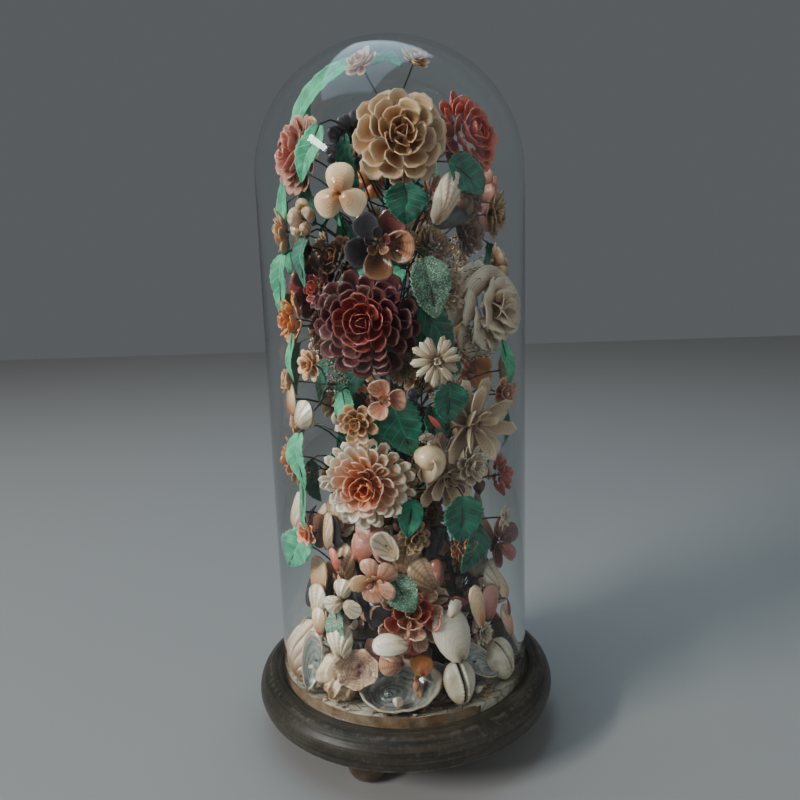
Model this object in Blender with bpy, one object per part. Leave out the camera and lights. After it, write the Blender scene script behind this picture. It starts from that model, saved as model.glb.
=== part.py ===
"""Shell-flower bouquet under a glass dome, on a turned wooden base with three bun feet.

Metres, +Z up. The origin is on the floor below the dome's axis, and -Y is the front.
The bouquet is a free form: its places and sizes are in UNIT, a 445th of its own height.
The dome is blown to clear the bouquet, and the base is turned to carry the dome.
"""

import math

import bmesh
import bpy
from mathutils import Matrix, Vector

# Driving sizes of the bouquet
BOUQUET_HEIGHT = 0.445
UNIT = BOUQUET_HEIGHT / 445
BOUQUET_RADIUS = 89 * UNIT
WIRE_RADIUS = 0.0010
WIRE_SIDES = 3
LEAF_THICKNESS = 0.0010
SHELL_THICKNESS = 0.0016

# Driving sizes of the glass
DOME_WALL = 0.0025
DOME_CLEARANCE = 0.0035
DOME_HEADROOM = 0.0070
DOME_CAP_SHARE = 0.975

# Driving sizes of the base, its feet and the ground inside the dome
FOOT_HEIGHT = 0.0250
FOOT_RADIUS = 0.0150
FOOT_INSET = 0.0310
FOOT_COUNT = 3
FIRST_FOOT_AZIMUTH = -19.5
BASE_PLATE_HEIGHT = 0.0197
LIP_HEIGHT = 0.0025
LIP_PLAY = 0.0015
LIP_WIDTH = 0.0105
SIDE_BULGE = 0.0077
GROUND_THICKNESS = 0.0060
STRIP_THICKNESS = 0.0010
STRIP_PLAY = 0.0006
STRIP_HEIGHT = 0.0072
STRIP_START_AZIMUTH = 67.5

# Pieces that touch keep this gap
GAP = 0.0003

# Rounds
ROUND_SEGMENTS = 32
FOOT_SEGMENTS = 10
CAP_STEPS = 5
STRIP_SEGMENTS = 29

# Places that follow from the sizes above
BASE_UNDERSIDE = FOOT_HEIGHT + GAP
SEAT = BASE_UNDERSIDE + BASE_PLATE_HEIGHT
GROUND_UNDERSIDE = SEAT + GAP
GROUND = GROUND_UNDERSIDE + GROUND_THICKNESS
DOME_INSIDE = BOUQUET_RADIUS + DOME_CLEARANCE
DOME_OUTSIDE = DOME_INSIDE + DOME_WALL
DOME_FOOT = SEAT + GAP
DOME_INSIDE_TOP = GROUND + BOUQUET_HEIGHT + DOME_HEADROOM
STRIP_OUTSIDE = DOME_INSIDE - STRIP_PLAY
GROUND_RADIUS = STRIP_OUTSIDE - STRIP_THICKNESS - GAP
LIP_INSIDE = DOME_OUTSIDE + LIP_PLAY
LIP_OUTSIDE = LIP_INSIDE + LIP_WIDTH
BASE_RADIUS = LIP_OUTSIDE + SIDE_BULGE

# The mound that the shells are bedded in, as (height, radius) in units
MOUND_PROFILE = ((0, 49), (22, 50), (50, 43), (80, 38), (104, 31), (122, 19), (134, 11))
MOUND_SEGMENTS = 14
MOUND_LUMPS = 2.4

# Shapes of the shells on the ground. A whorl is (share of the length, share of the width).
RIB_DEPTH = 0.03
COWRIE_GROOVE = 0.72
COWRIE_FLATNESS = 0.80
WHELK_KNOBS = 0.84
WHELK_WHORLS = (
    (0.02, 0.22), (0.16, 0.62), (0.36, 1.0), (0.52, 0.74), (0.60, 0.84), (0.74, 0.50), (0.80, 0.58),
    (0.92, 0.24),
)

# The bundle of wires that rises from the mound, in units
BUNDLE_FOOT_RADIUS = 8.5
BUNDLE_TOP_RADIUS = 2.6
BUNDLE_TOP = 398
BUNDLE_SEGMENTS = 8

# Colours of shells, leaves and woods
COLOURS = {
    "glass": (0.86, 0.92, 0.90),
    "base_wood": (0.13, 0.12, 0.09),
    "foot_wood": (0.15, 0.09, 0.06),
    "ground_paper": (0.42, 0.36, 0.28),
    "edge_strip": (0.38, 0.23, 0.11),
    "mound": (0.10, 0.08, 0.06),
    "wire": (0.10, 0.10, 0.07),
    "cream_shell": (0.72, 0.56, 0.38),
    "coral_shell": (0.62, 0.20, 0.16),
    "mauve_shell": (0.47, 0.27, 0.25),
    "slate_shell": (0.12, 0.12, 0.15),
    "crimson_shell": (0.33, 0.10, 0.08),
    "flame_shell": (0.70, 0.42, 0.26),
    "orange_shell": (0.62, 0.30, 0.12),
    "white_shell": (0.74, 0.70, 0.62),
    "tan_shell": (0.52, 0.42, 0.30),
    "brown_shell": (0.26, 0.17, 0.12),
    "pink_shell": (0.70, 0.42, 0.32),
    "nacre": (0.42, 0.46, 0.50),
    "emerald_leaf": (0.02, 0.22, 0.14),
    "pale_leaf": (0.20, 0.48, 0.32),
    "mica_leaf": (0.24, 0.40, 0.30),
}
ROUGHNESS = {"glass": 0.02, "base_wood": 0.45, "nacre": 0.2, "mica_leaf": 0.5}
SHELL_ROUGHNESS = 0.35
OTHER_ROUGHNESS = 0.65

# Ways of building a blossom. Each tier is (petals, share of the radius, share of the crown),
# with the points that draw one petal and how deep the notch between two petals is.
# cup lifts the petals' tips, and crown and back are shares of the radius.
STYLES = {
    "dahlia": {
        "tiers": ((6, 0.36, 1.0), (8, 0.68, 0.66), (10, 1.0, 0.0)),
        "points": 3, "notch": 0.76, "cup": 0.06, "crown": 0.38, "back": 0.30, "steps": True,
    },
    "small_dahlia": {
        "tiers": ((6, 0.50, 1.0), (10, 1.0, 0.1)),
        "points": 3, "notch": 0.78, "cup": 0.06, "crown": 0.36, "back": 0.30, "steps": True,
    },
    "quilled": {
        "tiers": ((6, 0.32, 1.0), (10, 0.68, 0.70), (14, 1.0, 0.0)),
        "points": 2, "notch": 0.80, "cup": 0.06, "crown": 0.38, "back": 0.30, "steps": True,
    },
    "blossom": {
        "tiers": ((5, 0.42, 1.0), (8, 1.0, 0.25)),
        "points": 2, "notch": 0.66, "cup": 0.08, "crown": 0.30, "back": 0.28, "steps": False,
    },
    "daisy": {
        "tiers": ((4, 0.26, 1.0), (13, 1.0, 0.35)),
        "points": 2, "notch": 0.62, "cup": 0.02, "crown": 0.20, "back": 0.22, "steps": False,
    },
    "trefoil": {
        "tiers": ((3, 0.62, 1.0), (3, 1.0, 0.15)),
        "points": 5, "notch": 0.40, "cup": 0.0, "crown": 0.42, "back": 0.22, "steps": False,
    },
    "cinquefoil": {
        "tiers": ((3, 0.20, 0.9), (5, 0.64, 0.62), (5, 1.0, 0.35)),
        "points": 4, "notch": 0.45, "cup": 0.06, "crown": 0.30, "back": 0.22, "steps": False,
    },
    "cup": {
        "tiers": ((3, 0.24, 0.2), (6, 0.62, 0.75), (7, 1.0, 1.0)),
        "points": 3, "notch": 0.80, "cup": 0.06, "crown": 0.42, "back": 0.45, "steps": False,
    },
    "cluster": {
        "tiers": ((4, 0.50, 1.0), (6, 1.0, 0.25)),
        "points": 2, "notch": 0.74, "cup": 0.0, "crown": 0.55, "back": 0.50, "steps": False,
    },
    "lily": {
        "tiers": ((3, 0.16, 0.6), (8, 0.55, 0.5), (8, 1.0, 1.0)),
        "points": 3, "notch": 0.42, "cup": 0.04, "crown": 0.16, "back": 0.18, "steps": False,
    },
    "globe": {
        "tiers": ((4, 0.62, 0.92), (4, 1.0, 0.35), (4, 0.96, -0.35)),
        "points": 2, "notch": 0.97, "cup": 0.0, "crown": 0.90, "back": 0.85, "steps": False,
    },
}

# Blossoms, each on its own wire: name, style, azimuth, height of its middle, reach of its rim
# plane from the axis, diameter, the way it is turned and tilted, roll, material.
# Azimuths run from the front towards +X, in degrees, and the lengths are in units.
BLOSSOMS = (
    ("dahlia_cream", "dahlia", 6, 377, 71, 60, 0, 4, 10, "cream_shell"),
    ("dahlia_coral", "dahlia", 49, 381, 66, 57, -6, 12, 0, "coral_shell"),
    ("dahlia_mauve", "dahlia", -63, 376, 67, 54, 6, 8, 15, "mauve_shell"),
    ("dahlia_slate", "small_dahlia", -146, 395, 48, 50, 0, 24, 0, "slate_shell"),
    ("clam_trefoil", "trefoil", -22, 344, 77, 38, 8, 0, 60, "cream_shell"),
    ("snail_cluster", "cluster", -52, 333, 74, 28, 0, 6, 0, "tan_shell"),
    ("blossom_straw_left", "blossom", -81, 328, 76, 34, 0, 0, 0, "cream_shell"),
    ("snail_brown_cluster", "cluster", 37, 338, 68, 34, 0, 0, 20, "brown_shell"),
    ("blossom_straw_right", "blossom", 62, 333, 76, 34, 2, -8, 20, "tan_shell"),
    ("mussel_blossom", "cinquefoil", -6, 314, 76, 46, 6, 0, 54, "brown_shell"),
    ("dahlia_crimson", "dahlia", -15, 265, 69, 74, 6, 0, 0, "crimson_shell"),
    ("blossom_orange_left", "small_dahlia", -71, 268, 74, 40, 6, 0, 0, "orange_shell"),
    ("cone_grey", "quilled", 31, 284, 58, 42, 0, 10, 0, "tan_shell"),
    ("blossom_cockle", "dahlia", 76, 271, 66, 70, -8, 0, 8, "white_shell"),
    ("daisy_white", "daisy", 18, 240, 83, 34, -8, 6, 0, "white_shell"),
    ("lily_horn", "lily", 49, 194, 66, 78, -6, 0, 8, "tan_shell"),
    ("dahlia_flame", "quilled", -17, 160, 70, 66, 6, -6, 0, "flame_shell"),
    ("globe_snail", "globe", 14, 176, 79, 24, 0, 0, 0, "cream_shell"),
    ("blossom_rust_left", "small_dahlia", -86, 168, 74, 46, 0, 0, 0, "orange_shell"),
    ("blossom_wine_right", "cinquefoil", 67, 105, 76, 40, -20, 0, 20, "crimson_shell"),
    ("blossom_pink_bow", "cinquefoil", -13, 95, 80, 34, 8, 0, 40, "pink_shell"),
    ("cockle_trefoil", "trefoil", -31, 78, 77, 30, 10, 0, 30, "white_shell"),
    ("blossom_coral_low", "cup", 5, 66, 62, 46, 4, 20, 0, "coral_shell"),
    ("dahlia_back_rose", "small_dahlia", 112, 352, 66, 62, 0, 8, 0, "mauve_shell"),
    ("dahlia_back_ivory", "small_dahlia", 176, 322, 72, 64, 0, 0, 0, "white_shell"),
    ("dahlia_back_wine", "small_dahlia", -124, 290, 72, 60, 0, 0, 0, "crimson_shell"),
    ("dahlia_back_amber", "small_dahlia", 132, 232, 72, 62, 0, 0, 0, "orange_shell"),
    ("dahlia_back_blush", "small_dahlia", -156, 196, 72, 64, 0, 0, 0, "flame_shell"),
)

# Leaves: name, azimuth, height of the middle, reach, length, width, which way the tip points
# as seen from outside (0 right, 90 up), turn, tilt, curl and material.
LEAVES = (
    ("leaf_ribbon_top", -74, 417, 42, 58, 12, 33, 0, 44, 12, "pale_leaf"),
    ("leaf_pale_upper", -37, 370, 81, 36, 17, -116, 10, 0, 2, "pale_leaf"),
    ("leaf_veined_right", 37, 353, 79, 32, 26, -34, 0, 8, 3, "emerald_leaf"),
    ("leaf_left_upper", -78, 291, 80, 42, 22, -98, 30, 0, 3, "pale_leaf"),
    ("leaf_emerald_top", 6, 336, 85, 24, 27, -90, 0, 0, 3, "emerald_leaf"),
    ("leaf_mica", 16, 286, 82, 38, 28, -80, 0, 0, 3, "mica_leaf"),
    ("leaf_emerald_mid", 23, 213, 83, 26, 26, -95, 0, 0, 3, "emerald_leaf"),
    ("leaf_green_left", -54, 172, 82, 38, 20, -84, 10, 0, 3, "pale_leaf"),
    ("leaf_emerald_round", 30, 133, 80, 32, 30, -96, -10, 0, 3, "emerald_leaf"),
    ("leaf_sea_left", -67, 103, 80, 34, 26, -120, 40, 0, 3, "pale_leaf"),
    ("leaf_back_high", 148, 286, 80, 40, 24, -80, 0, 0, 3, "emerald_leaf"),
)

# Sprigs: small blossoms whose wires are twisted into one. The knot is (azimuth, height, reach).
SPRIGS = (
    ("sprig_top", (4, 396, 26), (
        ("blossom", -22, 428, 42, 25, 0, 38, "cream_shell"),
        ("blossom", 26, 430, 42, 22, 0, 38, "cream_shell"),
    ), "cream_shell"),
    ("sprig_pale_left", (-62, 222, 50), (
        ("blossom", -46, 238, 78, 24, 0, 0, "cream_shell"),
        ("blossom", -78, 224, 77, 30, 0, 0, "cream_shell"),
        ("globe", -51, 204, 80, 20, 0, 0, "white_shell"),
    ), "cream_shell"),
    ("sprig_centre", (-8, 206, 54), (
        ("blossom", -18, 202, 82, 29, 10, 0, "flame_shell"),
        ("trefoil", -5, 217, 82, 29, 0, 0, "pink_shell"),
    ), "pink_shell"),
    ("sprig_back", (-170, 250, 50), (
        ("blossom", 178, 256, 79, 30, 0, 0, "cream_shell"),
        ("trefoil", -160, 250, 79, 28, 0, 0, "white_shell"),
    ), "white_shell"),
)


def remove_startup_objects():
    for obj in list(bpy.data.objects):
        bpy.data.objects.remove(obj, do_unlink=True)


def material_of(name):
    """The plain material of one finish, made the first time that it is asked for."""
    if name in bpy.data.materials:
        return bpy.data.materials[name]
    material = bpy.data.materials.new(name)
    material.use_nodes = True
    shader = material.node_tree.nodes["Principled BSDF"]
    shader.inputs["Base Color"].default_value = (*COLOURS[name], 1.0)
    plain = SHELL_ROUGHNESS if name.endswith("shell") else OTHER_ROUGHNESS
    shader.inputs["Roughness"].default_value = ROUGHNESS.get(name, plain)
    shader.inputs["Metallic"].default_value = 0.0
    if name == "glass":
        shader.inputs["Transmission Weight"].default_value = 1.0
    return material


def add_object(name, mesh, finish):
    obj = bpy.data.objects.new(name, mesh)
    obj.data.materials.append(material_of(finish))
    bpy.context.scene.collection.objects.link(obj)
    return obj


def turned(name, profile, segments, finish):
    """A turned piece. Its profile runs down the outside from the axis, as (radius, height)."""
    mesh = bpy.data.meshes.new(name)
    edges = [(i, i + 1) for i in range(len(profile) - 1)]
    mesh.from_pydata([(r, 0.0, z) for r, z in profile], edges, [])
    obj = add_object(name, mesh, finish)
    screw = obj.modifiers.new("Turn", "SCREW")
    screw.steps = segments
    screw.render_steps = segments
    screw.use_merge_vertices = True
    screw.merge_threshold = 0.00001
    screw.use_smooth_shade = False
    return obj


def stitch(bm, first, second):
    """Faces between two rings, which may have different numbers of points. A ring of one is a pole."""
    a, b = len(first), len(second)
    if a == b:
        for i in range(a):
            j = (i + 1) % a
            bm.faces.new((first[i], first[j], second[j], second[i]))
        return
    i = j = 0
    while i < (a if a > 1 else 0) or j < (b if b > 1 else 0):
        first_turn = b == 1 or (a > 1 and (j >= b or (i < a and (i + 1) * b <= (j + 1) * a)))
        if first_turn:
            bm.faces.new((first[i % a], first[(i + 1) % a], second[j % b]))
            i += 1
        else:
            bm.faces.new((first[i % a], second[(j + 1) % b], second[j % b]))
            j += 1


def lofted(name, rings, finish):
    """A closed solid through the rings. An end ring of more than one point is capped."""
    bm = bmesh.new()
    made = [[bm.verts.new(point) for point in ring] for ring in rings]
    for first, second in zip(made, made[1:]):
        stitch(bm, first, second)
    for end in (made[0], made[-1]):
        if len(end) > 2:
            bm.faces.new(end)
    bmesh.ops.recalc_face_normals(bm, faces=bm.faces)
    bmesh.ops.triangulate(bm, faces=bm.faces)
    mesh = bpy.data.meshes.new(name)
    bm.to_mesh(mesh)
    bm.free()
    return add_object(name, mesh, finish)


def radial(azimuth):
    a = math.radians(azimuth)
    return Vector((math.sin(a), -math.cos(a), 0.0))


def spot(azimuth, height, reach):
    """A point of the bouquet, from an azimuth in degrees and lengths in units."""
    return radial(azimuth) * reach * UNIT + Vector((0.0, 0.0, GROUND + height * UNIT))


def facing(azimuth, tilt, roll=0.0):
    """Axes of a piece that faces outwards: right, up and out, as the columns of a matrix."""
    lift = math.radians(tilt)
    out = radial(azimuth) * math.cos(lift) + Vector((0.0, 0.0, math.sin(lift)))
    right = Vector((-out.y, out.x, 0.0)).normalized()
    axes = Matrix((right, out.cross(right), out)).transposed()
    return axes @ Matrix.Rotation(math.radians(roll), 3, "Z")


def mound_radii(height, radius):
    """The corners of one ring of the mound, with the lumps of the shells that are bedded in it."""
    radii = []
    for i in range(MOUND_SEGMENTS):
        a = 2 * math.pi * i / MOUND_SEGMENTS
        lump = math.sin(3 * a + height / 17) * math.cos(2 * a - height / 23)
        radii.append(radius + MOUND_LUMPS * lump)
    return radii


def facet_radius(radii, azimuth):
    """How far a many-sided ring reaches at an azimuth, from the radii of its corners."""
    step = 360.0 / len(radii)
    i = int(azimuth % 360.0 // step)
    near, far = radii[i], radii[(i + 1) % len(radii)]
    side, turn = math.radians(step), math.radians(azimuth % 360.0 - i * step)
    return near * far * math.sin(side) / (near * math.sin(turn) + far * math.sin(side - turn))


def carrier_radius(height, azimuth):
    """How far in metres the mound, or the bundle of wires above it, reaches at a height in units."""
    low, high = MOUND_PROFILE[0], MOUND_PROFILE[-1]
    if height > high[0]:
        share = (height - high[0]) / (BUNDLE_TOP - high[0])
        radius = BUNDLE_FOOT_RADIUS + (BUNDLE_TOP_RADIUS - BUNDLE_FOOT_RADIUS) * share
        return facet_radius([radius] * BUNDLE_SEGMENTS, azimuth) * UNIT
    for high in MOUND_PROFILE[1:]:
        if height <= high[0]:
            break
        low = high
    share = max(0.0, (height - low[0]) / (high[0] - low[0]))
    corners = zip(mound_radii(*low), mound_radii(*high))
    return facet_radius([a + (b - a) * share for a, b in corners], azimuth) * UNIT


def contact_radius(height, azimuth):
    """Where a wire's end meets what carries it, over the whole width of the wire."""
    spread = math.degrees(WIRE_RADIUS / carrier_radius(height, azimuth))
    heights = (height, height - WIRE_RADIUS / UNIT)
    return max(carrier_radius(h, azimuth + turn) for h in heights for turn in (-spread, 0.0, spread))


def bezier(points, t):
    while len(points) > 1:
        points = [a.lerp(b, t) for a, b in zip(points, points[1:])]
    return points[0]


def wire_rings(control, across, steps=3):
    """Rings of a wire along a smooth curve, carried along it without twist."""
    rings = []
    spine = [bezier(control, i / steps) for i in range(steps + 1)]
    for i, point in enumerate(spine):
        ahead = (spine[min(i + 1, steps)] - spine[max(i - 1, 0)]).normalized()
        across = (across - ahead * across.dot(ahead)).normalized()
        other = across.cross(ahead)
        turns = [2 * math.pi * k / WIRE_SIDES for k in range(WIRE_SIDES)]
        rings.append([
            point + (across * math.cos(turn) + other * math.sin(turn)) * WIRE_RADIUS for turn in turns
        ])
    return rings


def wire_to_carrier(start, inwards, across):
    """A wire from the back of a piece to the bundle or the mound, which it meets with GAP to spare."""
    height = (start.z - GROUND) / UNIT
    azimuth = math.degrees(math.atan2(start.x, -start.y))
    drop = 26 if height - 26 > MOUND_PROFILE[-1][0] else 8
    foot_height = min(height - drop, BUNDLE_TOP - 6)
    out = radial(azimuth)
    meeting = contact_radius(foot_height, azimuth) + GAP
    foot = out * meeting
    foot.z = GROUND + foot_height * UNIT
    reach = (start - foot).length
    control = [start, start + inwards * reach * 0.4, foot + out * reach * 0.3, foot]
    rings = wire_rings(control, across)
    rings[-1] = [point + out * (meeting - point.dot(out)) for point in rings[-1]]
    return rings


def petal_ring(axes, middle, petals, points, radius, height, notch, lift):
    """One ring of petals, as points round the outline of a blossom's tier."""
    ring = []
    for i in range(petals * points):
        turn = 2 * math.pi * i / (petals * points)
        phase = (i / points) % 1.0 - 0.5
        bloom = math.sqrt(max(0.0, math.cos(math.pi * phase)))
        reach = radius * (notch + (1 - notch) * bloom)
        local = Vector((reach * math.cos(turn), reach * math.sin(turn), height + lift * bloom))
        ring.append(middle + axes @ local)
    return ring


def head_rings(style, azimuth, height, reach, diameter, turn, tilt, roll):
    """The rings of a blossom from its centre, over its tiers of petals, to the back where its wire starts."""
    form = STYLES[style]
    axes = facing(azimuth + turn, tilt, roll)
    middle = spot(azimuth, height, reach)
    radius = diameter * UNIT / 2
    crown = form["crown"] * radius
    rings = [[middle + axes @ Vector((0.0, 0.0, crown * 1.04))]]
    if style in ("cup", "lily"):
        rings = [[middle + axes @ Vector((0.0, 0.0, crown * form["tiers"][0][2]))]]
    for n, (petals, share, level) in enumerate(form["tiers"]):
        cup = form["cup"] * radius
        rings.append(petal_ring(
            axes, middle, petals, form["points"], radius * share, crown * level, form["notch"], cup
        ))
        if form["steps"] and n + 1 < len(form["tiers"]):
            rings.append(petal_ring(
                axes, middle, petals, form["points"], radius * share * 0.86,
                crown * level - 0.11 * radius, form["notch"], 0.0
            ))
    petals, share, level = form["tiers"][-1]
    rings.append(petal_ring(
        axes, middle, petals, 1, radius * share * 0.62,
        crown * level - form["back"] * radius * 0.75, 1.0, 0.0
    ))
    back = middle + axes @ Vector((0.0, 0.0, crown * level - form["back"] * radius))
    return rings, back, axes


def blossom(name, style, azimuth, height, reach, diameter, turn, tilt, roll, finish):
    rings, back, axes = head_rings(style, azimuth, height, reach, diameter, turn, tilt, roll)
    rings += wire_to_carrier(back, axes @ Vector((0, 0, -1)), axes @ Vector((1, 0, 0)))
    return lofted(name, rings, finish)


def leaf(name, azimuth, height, reach, length, width, tip, turn, tilt, curl, finish):
    """A leaf of stiffened cloth: four-sided rings from its wire to its point, with a fold along its rib."""
    axes = facing(azimuth + turn, tilt, tip)
    middle = spot(azimuth, height, reach)
    along, across, out = (axes @ Vector(v) for v in ((1, 0, 0), (0, 1, 0), (0, 0, 1)))
    stations = 7
    blade = []
    for i in range(1, stations):
        s = i / stations
        half = 0.5 * width * UNIT * math.sin(math.pi * s ** 0.8) ** 0.75
        tooth = 1.0 if i % 2 else 0.88
        bow = curl * UNIT * (1 - (2 * s - 1) ** 2)
        spine = middle + along * (s - 0.5) * length * UNIT + out * bow
        fold = out * 0.18 * half
        thick = out * LEAF_THICKNESS / 2
        blade.append([
            spine + across * half * tooth + fold, spine + thick,
            spine - across * half * tooth + fold, spine - thick,
        ])
    tip_point = [middle + along * 0.5 * length * UNIT]
    start = middle - along * 0.5 * length * UNIT
    wire = wire_to_carrier(start, (-along - out * 1.2).normalized(), across)
    return lofted(name, [tip_point, *reversed(blade), *wire], finish)


def helper(obj):
    """An operand of a Boolean isn't part of the model."""
    obj.hide_render = True
    obj.display_type = "WIRE"
    return obj


def sprig(name, knot_place, heads, finish):
    """Small blossoms whose wires meet at a knot, with one wire from there to the bundle."""
    knot = spot(*knot_place)
    knot_axes = facing(knot_place[0], 0)
    inwards = knot_axes @ Vector((0, 0, -1))
    twist = 2.4 * WIRE_RADIUS
    ball = [
        [knot + knot_axes @ Vector((0, 0, twist))],
        petal_ring(knot_axes, knot, 6, 1, twist * 0.95, twist * 0.4, 1.0, 0.0),
        petal_ring(knot_axes, knot, 6, 1, twist * 0.95, -twist * 0.4, 1.0, 0.0),
    ]
    start = knot + inwards * twist
    stalk = wire_to_carrier(start, inwards, knot_axes @ Vector((1, 0, 0)))
    main = lofted(name, ball + stalk, finish)
    for n, (style, azimuth, height, reach, diameter, turn, tilt, head_finish) in enumerate(heads):
        rings, back, axes = head_rings(style, azimuth, height, reach, diameter, turn, tilt, 0)
        away = axes @ Vector((0, 0, -1))
        length = (back - knot).length
        control = [back, back + away * length * 0.4, knot - inwards * length * 0.3, knot]
        rings += wire_rings(control, axes @ Vector((1, 0, 0)))
        arm = helper(lofted(f"{name}_arm_{n}", rings, head_finish))
        join = main.modifiers.new(f"Twist {n}", "BOOLEAN")
        join.operation = "UNION"
        join.object = arm
    return main


def glass_dome():
    cap = DOME_INSIDE * DOME_CAP_SHARE
    shoulder = DOME_INSIDE_TOP - cap
    angles = [math.pi / 2 * (1 - i / CAP_STEPS) for i in range(CAP_STEPS + 1)]

    def cap_points(radius, rise):
        return [(radius * math.cos(a) if i else 0.0, shoulder + rise * math.sin(a))
                for i, a in enumerate(angles)]

    outside = cap_points(DOME_OUTSIDE, cap + DOME_WALL)
    inside = cap_points(DOME_INSIDE, cap)
    foot = [(DOME_OUTSIDE, DOME_FOOT), (DOME_INSIDE, DOME_FOOT)]
    return turned("glass_dome", outside + foot + inside[::-1], ROUND_SEGMENTS, "glass")


def turned_base():
    """A disc with a rebate for the dome, a lip round it and a rounded side."""
    lip_top = SEAT + LIP_HEIGHT
    height = lip_top - BASE_UNDERSIDE
    profile = [
        (0.0, SEAT), (LIP_INSIDE, SEAT), (LIP_INSIDE + 0.15 * LIP_WIDTH, SEAT + 0.45 * LIP_HEIGHT),
        (LIP_INSIDE + 0.75 * LIP_WIDTH, lip_top), (LIP_OUTSIDE, lip_top - 0.2 * LIP_HEIGHT),
        (LIP_OUTSIDE + 0.72 * SIDE_BULGE, lip_top - 0.28 * height),
        (BASE_RADIUS, lip_top - 0.58 * height),
        (BASE_RADIUS - 0.15 * SIDE_BULGE, BASE_UNDERSIDE + 0.18 * height),
        (LIP_OUTSIDE, BASE_UNDERSIDE), (0.0, BASE_UNDERSIDE),
    ]
    return turned("turned_base", profile, ROUND_SEGMENTS, "base_wood")


def bun_foot(number):
    azimuth = FIRST_FOOT_AZIMUTH + 360.0 / FOOT_COUNT * number
    steps = 5
    profile = [(0.0, FOOT_HEIGHT)]
    for i in range(steps + 1):
        a = math.radians(62 - 124 * i / steps)
        rise = 0.5 + 0.5 * math.sin(a) / math.sin(math.radians(62))
        profile.append((FOOT_RADIUS * math.cos(a), FOOT_HEIGHT * rise))
    profile.append((0.0, 0.0))
    foot = turned(f"bun_foot_{number + 1}", profile, FOOT_SEGMENTS, "foot_wood")
    foot.location = radial(azimuth) * (BASE_RADIUS - FOOT_INSET)
    return foot


def ground_disc():
    bevel = 0.2 * GROUND_THICKNESS
    profile = [
        (0.0, GROUND), (GROUND_RADIUS - bevel, GROUND), (GROUND_RADIUS, GROUND - bevel),
        (GROUND_RADIUS, GROUND_UNDERSIDE), (0.0, GROUND_UNDERSIDE),
    ]
    return turned("ground_disc", profile, ROUND_SEGMENTS, "ground_paper")


def edge_strip():
    """A thin bent strip round the ground disc, with a length of it broken away at the front right."""
    low, high = GROUND_UNDERSIDE, GROUND_UNDERSIDE + STRIP_HEIGHT
    inner = STRIP_OUTSIDE - STRIP_THICKNESS
    rings = []
    for i in range(STRIP_SEGMENTS + 1):
        out = radial(STRIP_START_AZIMUTH + 360.0 / ROUND_SEGMENTS * i)
        rings.append([
            out * inner + Vector((0, 0, low)), out * STRIP_OUTSIDE + Vector((0, 0, low)),
            out * STRIP_OUTSIDE + Vector((0, 0, high)), out * inner + Vector((0, 0, high)),
        ])
    return lofted("edge_strip", rings, "edge_strip")


def upright_ring(radii, level):
    """A level ring of corners round the axis, from their radii in units."""
    return [
        radial(360.0 * i / len(radii)) * radius * UNIT + Vector((0, 0, level))
        for i, radius in enumerate(radii)
    ]


def shell_mound():
    rings = []
    for height, radius in MOUND_PROFILE:
        rings.append(upright_ring(mound_radii(height, radius), GROUND + GAP + height * UNIT))
    return lofted("shell_mound", rings, "mound")


def wire_bundle():
    foot = MOUND_PROFILE[-1][0]
    ends = ((foot, BUNDLE_FOOT_RADIUS), (BUNDLE_TOP, BUNDLE_TOP_RADIUS))
    rings = [
        upright_ring([radius] * BUNDLE_SEGMENTS, GROUND + height * UNIT + 2 * GAP)
        for height, radius in ends
    ]
    return lofted("wire_bundle", rings, "wire")


def bedded(rings):
    """Rings of a shell that lies on the ground, set down so that its lowest point is GAP above it."""
    lowest = min(point.z for ring in rings for point in ring)
    return [[point + Vector((0, 0, GROUND + GAP - lowest)) for point in ring] for ring in rings]


def outline_radius(kind, angle):
    """The outline of a shell's edge, as a share of its half length, from the angle to its broad side."""
    c, s = math.cos(angle), math.sin(angle)
    if kind == "fan":
        return 0.98 - 0.10 * s + 0.10 * math.cos(2 * angle) * (s < 0)
    if kind == "oval":
        return 1.0 / math.hypot(c / 0.66, s)
    return 1.0 / math.hypot(c, s / 0.74)


def shell_ring(axes, middle, kind, count, half, share, level, hinge=(0.0, 0.0), rib=0.0):
    """One ring round a bowl-shaped shell. Its ribs show as a zigzag."""
    ring = []
    for i in range(count):
        a = 2 * math.pi * i / count
        r = half * share * outline_radius(kind, a) * (1 + rib * (-1) ** i)
        slide = (1 - share) * half
        x, y = r * math.cos(a) + slide * hinge[0], r * math.sin(a) + slide * hinge[1]
        ring.append(middle + axes @ Vector((x, y, level)))
    return ring


def valve(name, kind, place, turned_to, lean, spin, length, depth, finish, ribbed=False, wired=False):
    """One half of a shell that shows its back: a domed front, and a hollow behind with its own wall."""
    axes, middle = facing(turned_to, lean, spin), spot(*place)
    half, bowl = length * UNIT / 2, depth * UNIT
    count, rib = (16, RIB_DEPTH) if ribbed else (12, 0.0)
    hollow = bowl - 1.6 * SHELL_THICKNESS
    hinge = (0.0, -0.2)

    def ring(share, level, relief=0.0):
        return shell_ring(axes, middle, kind, count, half, share, level, hinge, relief)

    def pole(level):
        return [middle + axes @ Vector((half * hinge[0], half * hinge[1], level))]

    rings = [pole(bowl), ring(0.55, 0.78 * bowl, rib), ring(0.88, 0.34 * bowl, rib), ring(1.0, 0.0, rib),
             ring(0.86, 0.0), ring(0.50, 0.8 * hollow)]
    if wired:
        start = pole(hollow)[0]
        rings += wire_to_carrier(start, axes @ Vector((0, 0, -1)), axes @ Vector((1, 0, 0)))
    else:
        rings = bedded([*rings, pole(hollow)])
    return lofted(name, rings, finish)


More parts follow.
